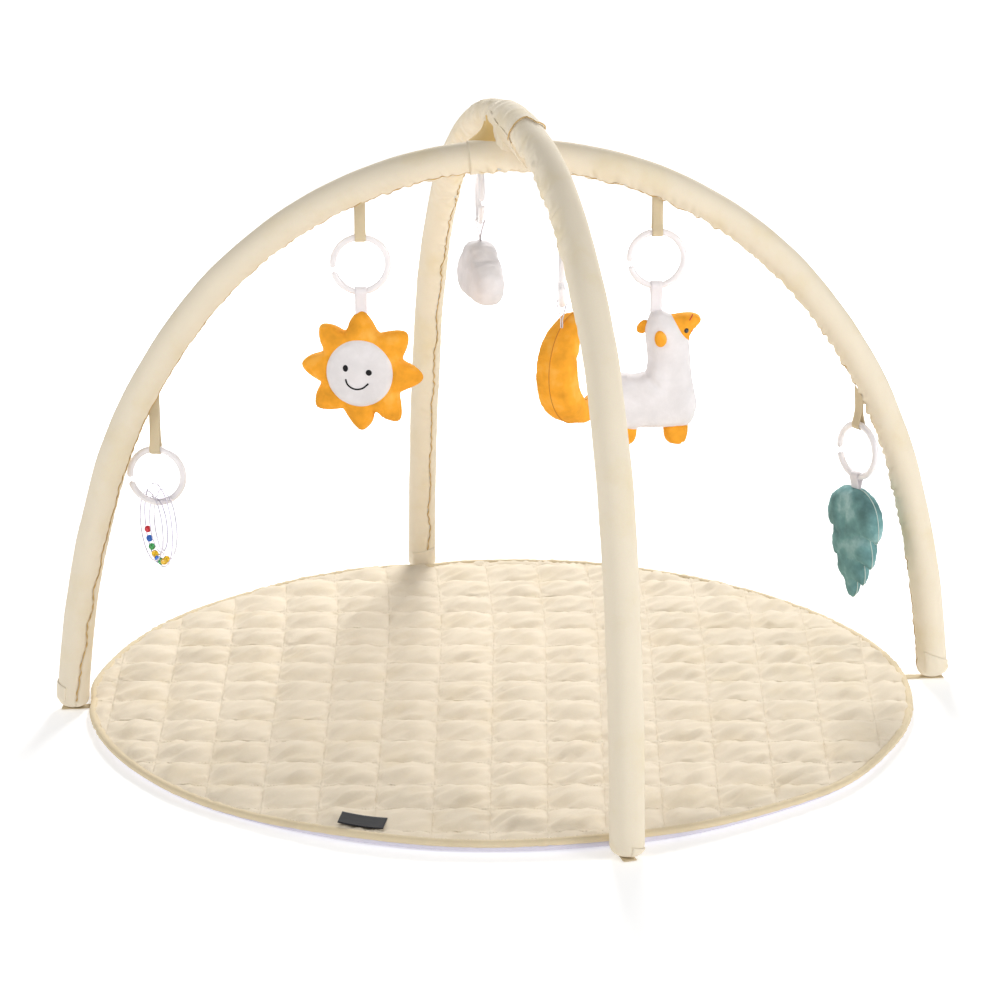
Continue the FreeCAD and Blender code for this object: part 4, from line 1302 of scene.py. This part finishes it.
def make_llama_head(tree):
    """The ears, eyes and stitched nostrils and mouths, on both sides of the head."""
    ears, eyes, lines = [], [], []
    for x, up, front, tilt in ((1.0, -20.0, True, 0.1), (-9.5, -12.0, False, -0.5)):
        points, faces, _ = stuffed(smooth_loop(np.array(EAR) * MM, 2), 5 * MM, 161, 1.4 * MM, pucker=0.3 * MM)
        c, s = math.cos(tilt), math.sin(tilt)
        points[:, [0, 2]] = points[:, [0, 2]] @ np.array([[c, s], [-s, c]])
        points[:, 1] += (0.28 if front else -0.28) * points[:, 2]
        ears.append((points + against(tree, [(x * MM, up * MM)], 0.6 * MM, front)[0], faces))
        eyes.append(pad_disc(tree, 29.2, -20.0, 2.4, 2.6, 1.4, front))
        lines.append(thread_line(tree, [(32.7, -10.2), (34.5, -8.0), (37.0, -5.6)], 0.55 * MM, front))
        lines.append(thread_line(tree, [(34.4, -21.8), (36.0, -21.0), (38.0, -21.9)], 0.5 * MM, front))
    toy("llama_ear_flaps", joined(ears), ORANGE_PLUSH, ["llama_ears"])
    toy("llama_eye_pair", joined(eyes), EYE_BLACK, ["llama_eyes"])
    toy("llama_red_stitching", joined(lines), STITCH_RED)


# ================================ the rattle ================================
def torus(tube, flip=False, ridge=0.0, rings=120, sides=40):
    a, b = grid_of(round_turn(rings), round_turn(sides))
    t = tube + ridge * bell(np.sin(b), 0.07)
    r = RATTLE_R + t * np.cos(b)
    return shell(np.stack([r * np.cos(a), t * np.sin(b), r * np.sin(a)], -1), True, True, not flip)


def ball(centre, radius, rings=10, sides=16):
    a, b = grid_of(np.linspace(0, math.pi, rings + 1)[1:-1], round_turn(sides))
    grid = np.stack([np.sin(a) * np.cos(b), np.sin(a) * np.sin(b), np.cos(a)], -1)
    points, faces = shell(grid, False, True)
    top, last, faces = len(points), (rings - 2) * sides, faces.tolist()
    faces += [[top, n, (n + 1) % sides] for n in range(sides)]
    faces += [[top + 1, last + (n + 1) % sides, last + n] for n in range(sides)]
    return np.concatenate([points, [(0, 0, 1.0), (0, 0, -1.0)]]) * radius + centre, faces


def make_rattle():
    """A clear hollow ring with fine ridges along it, and its loose beads."""
    wall, bead = 1.2 * MM, 3.6 * MM
    shape = joined([torus(RATTLE_TUBE, ridge=0.45 * MM), torus(RATTLE_TUBE - wall, True)])
    toy("rattle_shell", shape, CLEAR, ["rattle_shell_front", "rattle_shell_back"])
    a = round_turn(120)
    lines = []
    # lines along the ring's ridges, drawn in their painted shade colour
    proud = RATTLE_TUBE + 0.5 * MM
    for r, y in ((RATTLE_R + proud, 0), (RATTLE_R - proud, 0), (RATTLE_R, proud), (RATTLE_R, -proud)):
        path = np.stack([r * np.cos(a), y + 0 * a, r * np.sin(a)], 1)
        lines.append(sweep(path, round_section(0.6 * MM, 8), (0, 1, 0), True))
    toy("rattle_ridges", joined(lines), RIDGE_SHADE)
    track = RATTLE_R + RATTLE_TUBE - wall - bead - 0.2 * MM
    balls, colours = [], []
    for n, colour in enumerate((0, 1, 2, 3, 1, 2, 3, 3)):
        a = math.radians(253.5 + 15 * (n - 3.5))
        balls.append(ball(track * np.array([math.cos(a), 0, math.sin(a)]), bead))
        colours += [colour] * len(balls[-1][1])
    points, faces = joined(balls)
    points = hung("rattle", points, HANGERS["rattle"][2] - RATTLE_DROP, True)
    beads = mesh("rattle_bead_balls", (points, faces), BEADS, "rattle_bead_set", ["rattle_beads"])
    beads.data.polygons.foreach_set("material_index", colours)


make_camera()
make_stage()
paint_inside()
make_mat()
for make_part in (make_sleeve, make_seam):
    for arch_name, arch_sleeve in SLEEVES.items():
        make_part(arch_sleeve, arch_name)
make_flaps()
make_wrap()
make_cuff()
make_gusset()
for hanger_name in HANGERS:
    make_hanger(hanger_name)
make_sun()
make_moon()
make_cloud()
make_leaf()
make_llama()
make_rattle()
